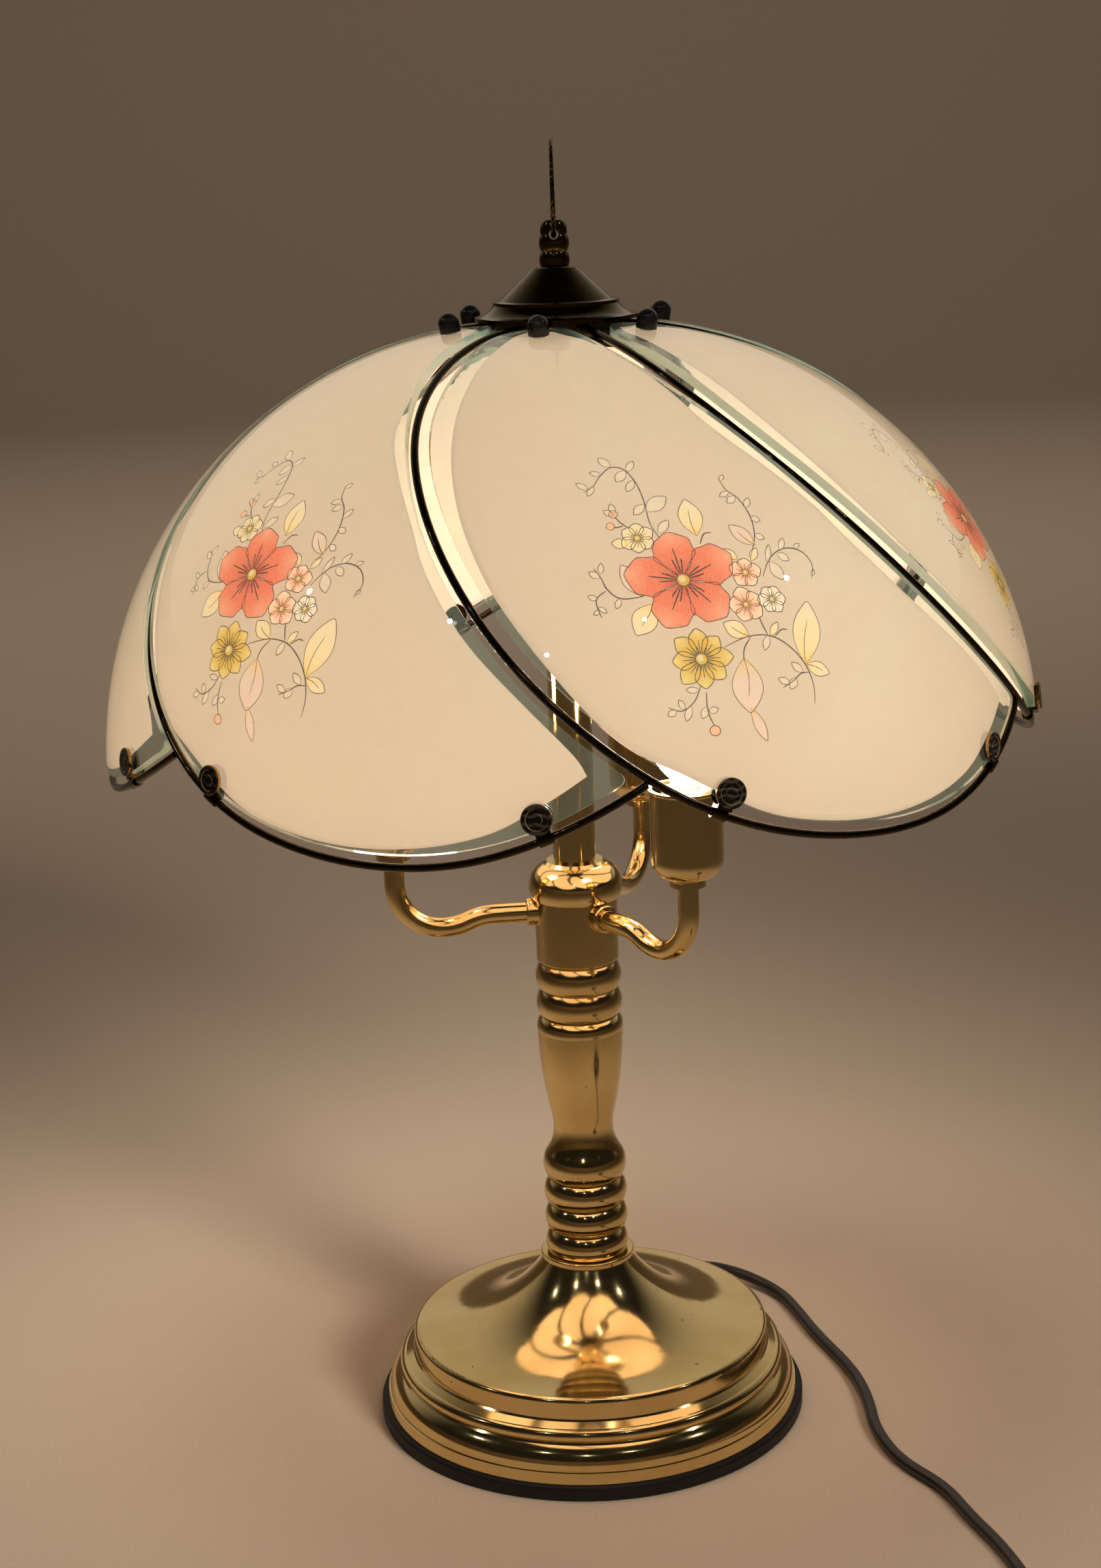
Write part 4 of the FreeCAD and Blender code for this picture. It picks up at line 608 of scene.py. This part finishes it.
def spray_shape():
    """One panel's spray: a coral bloom over an ochre one, small flowers, leaves and tendrils."""
    ink = Spray()
    stems = (
        ((-22.6, -2.0), (-25.8, 8.0), (-25.2, 19.0), (-25.8, 28.0), (-28.5, 35.6), (-33.5, 38.0),
         (-39.0, 34.6), (-43.5, 30.0), (-48.0, 28.4)),
        ((9.6, -12.0), (14.6, -2.0), (15.6, 7.0), (13.4, 15.0), (9.6, 19.8), (8.4, 25.6)),
        ((12.8, -19.6), (18.4, -11.8), (26.0, -8.2), (33.2, -9.8), (36.6, -15.4), (34.6, -21.6)),
        ((-33.0, -20.4), (-39.6, -21.4), (-46.4, -20.4), (-50.2, -15.6), (-51.2, -11.0),
         (-53.0, -6.2)),
        ((-50.6, -16.4), (-55.6, -19.6), (-55.2, -27.2)),
        ((-10.4, -46.2), (0.2, -43.0), (9.8, -43.6), (17.4, -48.6), (23.0, -56.4), (25.6, -65.2),
         (25.2, -73.4)),
        ((1.6, -43.2), (-2.0, -47.6), (-3.2, -52.4)),
        ((-22.6, -60.0), (-26.6, -66.4), (-32.4, -69.6), (-37.6, -67.4)),
        ((-21.0, -63.0), (-21.8, -71.0), (-20.2, -77.6)),
        ((-34.4, 7.6), (-37.2, 11.0), (-39.0, 14.8)), ((-36.6, 9.4), (-39.4, 9.2), (-41.2, 10.2)),
        ((-8.9, -3.4), (-6.2, 0.6), (-3.0, 1.0)), ((6.8, -34.6), (7.6, -38.6), (9.0, -43.0)),
        ((25.0, -60.0), (20.6, -60.2), (16.4, -63.0), (11.6, -65.2)),
        ((12.0, -44.0), (15.4, -41.6), (18.0, -41.8)),
    )
    for stem in stems:
        ink.line([Vector(spot) for spot in stem], 0.52, 2)
    ink.leaflets((((-9.2, 0.2), (-9.0, 17.0), 9.5), ((-33.8, -25.0), (-43.4, -36.4), 10.0),
                  ((1.0, -42.8), (-8.2, -36.4), 7.0), ((4.4, -11.6), (-0.4, -6.6), 3.6),
                  ((9.8, -12.6), (13.6, -7.4), 3.2), ((-36.8, 1.2), (-43.2, 2.8), 4.4),
                  ((23.2, -56.6), (29.6, -31.0), 12.5), ((23.6, -56.6), (34.0, -61.4), 6.0),
                  ((10.2, -43.8), (14.2, -38.4), 3.0)), PALES)
    ink.leaflets((((-3.0, -51.4), (-4.0, -74.0), 13.0), ((-3.6, -72.0), (1.6, -87.0), 4.6),
                  ((-36.8, -21.4), (-42.2, -7.0), 7.6), ((13.6, -6.2), (5.2, 3.4), 6.4)), BLUSHES)
    for root, tip in (((-9.2, 0.2), (-9.0, 17.0)), ((-33.8, -25.0), (-43.4, -36.4)),
                      ((1.0, -42.8), (-8.2, -36.4)), ((23.2, -56.6), (29.6, -31.0)),
                      ((-3.0, -51.4), (-4.0, -74.0)), ((-36.8, -21.4), (-42.2, -7.0)),
                      ((13.6, -6.2), (5.2, 3.4)), ((23.6, -56.6), (34.0, -61.4))):
        ink.vein(root, tip, 4)
    ink.leaflets((((-26.0, 14.0), (-16.0, 19.4), 6.4), ((-25.6, 17.4), (-31.0, 13.4), 3.6),
                  ((-24.0, 3.4), (-18.4, 8.6), 3.6), ((-26.2, 29.6), (-30.6, 24.6), 3.2),
                  ((-28.0, 35.2), (-33.4, 30.2), 4.2), ((-27.6, 34.2), (-23.6, 39.4), 3.0),
                  ((-33.4, 38.2), (-37.0, 44.2), 3.8), ((-38.4, 35.2), (-42.6, 37.6), 2.4),
                  ((-42.8, 30.6), (-46.6, 26.2), 2.6), ((-45.6, 29.4), (-49.6, 33.6), 2.6),
                  ((-39.0, 14.8), (-42.4, 17.8), 2.6), ((-38.8, 15.2), (-38.6, 20.4), 2.6),
                  ((15.4, 6.0), (19.4, 4.6), 2.8), ((14.8, 10.6), (18.0, 15.2), 2.6),
                  ((12.4, 16.4), (8.0, 13.4), 3.0), ((10.6, 18.8), (5.8, 16.6), 2.4),
                  ((8.6, 24.2), (11.2, 27.2), 1.8), ((14.8, -1.6), (18.4, -3.6), 2.8),
                  ((16.4, -14.4), (19.4, -6.2), 2.4), ((23.4, -9.2), (26.8, -3.8), 2.6),
                  ((30.2, -8.4), (33.4, -6.4), 1.8), ((22.0, -10.2), (26.4, -13.4), 3.4),
                  ((17.6, -13.4), (21.4, -21.4), 5.0), ((34.8, -20.4), (36.8, -18.0), 1.6),
                  ((-51.6, -10.6), (-55.4, -7.4), 2.8), ((-51.0, -9.4), (-49.6, -4.6), 2.2),
                  ((-54.8, -19.4), (-58.4, -17.2), 2.2), ((-55.4, -22.4), (-52.6, -25.4), 2.0),
                  ((-55.2, -24.0), (-58.0, -25.2), 1.8), ((-46.0, -20.6), (-48.6, -24.4), 2.4),
                  ((-23.6, -62.0), (-29.0, -61.2), 2.6), ((-28.2, -67.6), (-31.4, -74.2), 3.0),
                  ((-31.2, -69.4), (-32.6, -64.8), 2.4), ((-34.4, -69.0), (-38.4, -71.0), 2.8),
                  ((-21.6, -69.0), (-24.6, -73.8), 3.2), ((-21.4, -71.4), (-17.4, -70.4), 2.8),
                  ((21.8, -59.8), (17.0, -55.4), 3.2), ((18.0, -61.6), (15.0, -66.2), 3.6),
                  ((15.0, -63.8), (10.2, -61.2), 2.8), ((9.2, -43.2), (6.4, -49.2), 3.0)), BARE)
    ink.bloom((6.0, -17.2), 6.4, 5, 80, MIXED, 0.95, 4, 1.3)
    ink.bloom((2.8, -30.2), 7.2, 5, 30, MIXED, 0.95, 4.2, 1.3)
    ink.bloom((14.2, -29.0), 5.9, 6, 60, WHITES, 0.9, 4, 1.2)
    ink.bloom((-32.6, 3.0), 6.8, 6, 20, PALES, 0.85, 4, 1.4)
    ink.bloom((-20.2, -49.6), 12.4, 8, 88, OCHRES, 0.62, 4, 2.6)
    ink.bloom((-19.6, -17.2), 22.0, 5, 93, CORALS, 0.78, 5, 2.8, 0.09)
    for spot, reach in (((-39.0, 15.4), 1.9), ((-41.6, 10.2), 1.8), ((-20.2, -79.6), 2.4)):
        ink.berry(spot, reach, CORAL_PALE)
    return ink.shape


def build_sprays():
    ink = print_finish()
    for number in range(PETALS):
        shape = spray_shape()
        turn_petal(shape, number)
        piece(f"flower_transfer_{number + 1}", shape, ink, "shade")


build_sprays()


# ---------------------------------------------------------------- finial ring

ROPE_TWIST = 16


def build_ring():
    """The finial's ring: two wires twisted into a rope and closed in a circle."""
    low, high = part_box("finial_ring")
    wire = (high.x - low.x) / 2
    middle = Vector((0, 0, (low.z + high.z) / 2))
    reach = (high.z - low.z) / 2 - wire
    shape = bmesh.new()
    made = bmesh.ops.create_circle(shape, segments=20, radius=wire, cap_ends=False)
    for vert in made["verts"]:
        angle = math.atan2(vert.co.y, vert.co.x)
        vert.co *= 0.74 + 0.26 * abs(math.cos(angle)) ** 0.8
    bmesh.ops.rotate(shape, verts=shape.verts, cent=(0, 0, 0),
                     matrix=Matrix.Rotation(math.pi / 2, 3, "Y"))
    bmesh.ops.rotate(shape, verts=shape.verts, cent=(0, 0, 0),
                     matrix=Matrix.Rotation(math.pi / 2, 3, "Z"))
    bmesh.ops.translate(shape, verts=shape.verts, vec=(0, 0, reach))
    bmesh.ops.spin(shape, geom=shape.edges, cent=(0, 0, 0), axis=(1, 0, 0), angle=TURN,
                   steps=160, use_merge=True)
    for vert in shape.verts:
        turn = math.atan2(vert.co.y, vert.co.z)
        spine = Vector((0, math.sin(turn), math.cos(turn))) * reach
        way = Vector((0, math.cos(turn), -math.sin(turn)))
        slim = 0.84 - 0.16 * math.cos(turn)
        vert.co = spine + Matrix.Rotation(turn * ROPE_TWIST, 3, way) @ (vert.co - spine) * slim
    bmesh.ops.translate(shape, verts=shape.verts, vec=middle)
    piece("twisted_ring", shape, FINISHES["dark_bronze"], "ring",
          ("finial_ring",))


build_ring()


# ---------------------------------------------------------------- mains cord

CORD_WIDTH = 5.6 * MM
CORD_ROUTE = (
    (0.0423, 0.0906, 0.0160), (0.0487, 0.1044, 0.0157), (0.0612, 0.1134, 0.0132),
    (0.0759, 0.1153, 0.0086), (0.0902, 0.1093, 0.0044), (0.0998, 0.0965, 0.0030),
    (0.1052, 0.0786, 0.0029), (0.1124, 0.0505, 0.0029), (0.1258, 0.0130, 0.0029),
    (0.1300, -0.0185, 0.0029), (0.1293, -0.0465, 0.0029), (0.1369, -0.0770, 0.0029),
    (0.1537, -0.1005, 0.0029), (0.1607, -0.1260, 0.0029), (0.1694, -0.1490, 0.0029),
    (0.1752, -0.1730, 0.0029), (0.1789, -0.1950, 0.0029), (0.1806, -0.2140, 0.0029),
)
COIL_MIDDLE = Vector((0.220, -0.236, 0))
COIL_OUTER, COIL_INNER = 39.6 * MM, 22.5 * MM
COIL_HEIGHT = 2.85 * MM
COIL_BULGE = 0.6 * MM
COIL_STEPS = 14
LAYER_STEP = 5.7 * MM
PLUG_BEND = Vector((0.205, -0.244, 0.0146))
PLUG_BEND_REACH = 25.5 * MM


def ease(share):
    """A share that starts and ends slowly."""
    return share * share * (3 - 2 * share)


def coil_place(turns):
    """The coil's line: three turns inward on the table, up, and three outward on top."""
    low, high = COIL_HEIGHT, COIL_HEIGHT + LAYER_STEP
    if turns <= 3:
        reach, height = COIL_OUTER - LAYER_STEP * turns, low
    elif turns <= 3.5:
        climb = (turns - 3) / 0.5
        reach = COIL_INNER - COIL_BULGE * math.sin(math.pi * climb)
        height = low + LAYER_STEP * ease(climb)
    elif turns <= 6.5:
        reach, height = COIL_INNER + LAYER_STEP * (turns - 3.5), high
    else:
        climb = (turns - 6.5) / 0.5
        reach = COIL_OUTER + COIL_BULGE * math.sin(math.pi * climb)
        height = high + LAYER_STEP * ease(climb)
    angle = math.pi + TURN * turns
    reach /= math.cos(math.pi / COIL_STEPS)
    return COIL_MIDDLE + Vector((reach * math.cos(angle), reach * math.sin(angle), height))


def cord_line():
    """The cord's smooth line from its bushing to its plug."""
    spots = [Vector(spot) for spot in CORD_ROUTE]
    spots += [coil_place(step / COIL_STEPS) for step in range(7 * COIL_STEPS + 1)]
    for angle, climb in ((195, 0.6), (225, 1.6), (255, 2.8)):
        way = math.radians(angle)
        spots.append(PLUG_BEND + Vector((math.cos(way) * PLUG_BEND_REACH,
                                         math.sin(way) * PLUG_BEND_REACH, climb * MM)))
    spots += [Vector((0.2050, -0.2690, 0.0179)), Vector((0.2090, -0.2690, 0.0179))]
    data = bpy.data.curves.new("cord_line", "CURVE")
    data.dimensions = "3D"
    data.resolution_u = 5
    spline = data.splines.new("NURBS")
    spline.points.add(len(spots) - 1)
    for point, spot in zip(spline.points, spots):
        point.co = (*spot, 1.0)
    spline.order_u = 3
    spline.use_endpoint_u = True
    guide = bpy.data.objects.new("cord_line", data)
    mesh = bpy.data.meshes.new_from_object(guide)
    line = [vert.co.copy() for vert in mesh.vertices]
    bpy.data.objects.remove(guide)
    bpy.data.meshes.remove(mesh)
    return line


def build_cord():
    """Two cores under one smooth sheath, carried level along the cord's line."""
    line = cord_line()
    shape = bmesh.new()
    made = bmesh.ops.create_circle(shape, segments=24, radius=CORD_WIDTH / 2, cap_ends=True)
    ring = made["verts"]
    for vert in ring:
        angle = math.atan2(vert.co.y, vert.co.x)
        groove = 0.16 * math.exp(-(math.cos(angle) / 0.22) ** 2)
        vert.co.y *= 0.93 * (1 - groove)
    before = Matrix()
    for number, spot in enumerate(line):
        ahead = line[min(number + 1, len(line) - 1)] - line[max(number - 1, 0)]
        ahead.normalize()
        side = ahead.cross(Vector((0, 0, 1))).normalized()
        stand = Matrix((side, side.cross(ahead), -ahead)).transposed().to_4x4()
        place = Matrix.Translation(spot) @ stand
        if number:
            edges = {edge for vert in ring for edge in vert.link_edges
                     if edge.other_vert(vert) in ring}
            made = bmesh.ops.extrude_edge_only(shape, edges=list(edges))
            ring = [item for item in made["geom"] if isinstance(item, bmesh.types.BMVert)]
        bmesh.ops.transform(shape, matrix=place @ before.inverted(), verts=ring)
        before = place
    edges = {edge for vert in ring for edge in vert.link_edges if edge.other_vert(vert) in ring}
    bmesh.ops.contextual_create(shape, geom=list(edges))
    cord = piece("mains_cord", shape, FINISHES["cord_sheath"], "lamp",
                 ("cord", "cord_coil"))


build_cord()


# ---------------------------------------------------------------- studio

def studio():
    """A pale floor that curves up into a backdrop all round, and soft lamps."""
    shape = bmesh.new()
    bend, radius, lip = 4.5, 1.2, 0.35
    outline = [shape.verts.new((reach, 0, 0)) for reach in (0, 0.6, bend)]
    for step in range(1, 13):
        turn = math.pi / 2 * step / 12
        outline.append(shape.verts.new((bend + radius * math.sin(turn), 0,
                                        radius * (1 - math.cos(turn)))))
    outline.append(shape.verts.new((bend + radius, 0, radius + lip)))
    edges = [shape.edges.new(pair) for pair in zip(outline, outline[1:])]
    bmesh.ops.spin(shape, geom=outline + edges, cent=(0, 0, 0), axis=(0, 0, 1), angle=TURN,
                   steps=96, use_merge=True)
    bmesh.ops.remove_doubles(shape, verts=shape.verts, dist=0.1 * MM)
    bmesh.ops.recalc_face_normals(shape, faces=shape.faces)
    if shape.faces[0].normal.z < 0:
        bmesh.ops.reverse_faces(shape, faces=shape.faces)
    m = Finish("pale_cloth")
    weave = m.noise(900.0, 2.0, 0.6)
    tone = m.blend(weave.soft(0.3, 0.7), rgb(190, 168, 145), rgb(182, 160, 137))
    cloth = m.done(m.surface(Base_Color=tone, Roughness=0.85,
                             Normal=m.bump(weave, 0.2 * MM, 0.3)))
    smooth_object("studio_floor", shape, cloth)

    air = Finish("studio_air", bpy.data.worlds)
    way = air.node("TexCoord")
    back = air.node("SeparateXYZ", sockets={0: way}, out=1)
    tone = air.blend(back.soft(0.1, 0.95), (0.03, 0.026, 0.022, 1.0), (1.0, 0.86, 0.70, 1.0))
    air.node("OutputWorld", sockets={"Surface": air.node("Background", sockets={
        "Color": tone, "Strength": 0.5})})
    bpy.context.scene.world = air.material

    key = soft_lamp("key_lamp", (-0.10, -0.05, 1.5), 0.7, 1.2)
    key.data.spread = math.radians(60)
    fill = soft_lamp("fill_lamp", (0.8, -1.1, 0.9), 0.5, 1.7)
    fill.data.spread = math.radians(36)
    backdrop = soft_lamp("backdrop_lamp", (0.0, 1.8, 2.6), 1.4, 36.0, Vector((0, 4.8, 0.7)))
    for lamp in (key, fill, backdrop):
        lamp.visible_glossy = False
        lamp.visible_transmission = False
    for number, place in enumerate(((-0.9, -1.4, 1.9), (0.7, -1.6, 2.0), (-0.2, -2.3, 2.1),
                                    (1.5, -0.5, 1.7), (-1.6, -0.3, 1.6)), start=1):
        soft_lamp(f"ceiling_lamp_{number}", place, 0.045, 0.8)


def soft_lamp(name, place, width, power, target=Vector((0, 0, 0.3))):
    """A round, warm white lamp that the camera doesn't see."""
    data = bpy.data.lights.new(name, "AREA")
    data.shape = "DISK"
    data.size = width
    data.energy = power
    data.color = (1.0, 0.96, 0.90)
    lamp = bpy.data.objects.new(name, data)
    lamp.visible_camera = False
    bpy.context.scene.collection.objects.link(lamp)
    aim = target - Vector(place)
    facing = aim.to_track_quat("-Z", "Y").to_matrix().to_4x4()
    lamp.matrix_world = Matrix.Translation(place) @ facing
    return lamp


studio()

scene = bpy.context.scene
scene.view_settings.view_transform = "Standard"
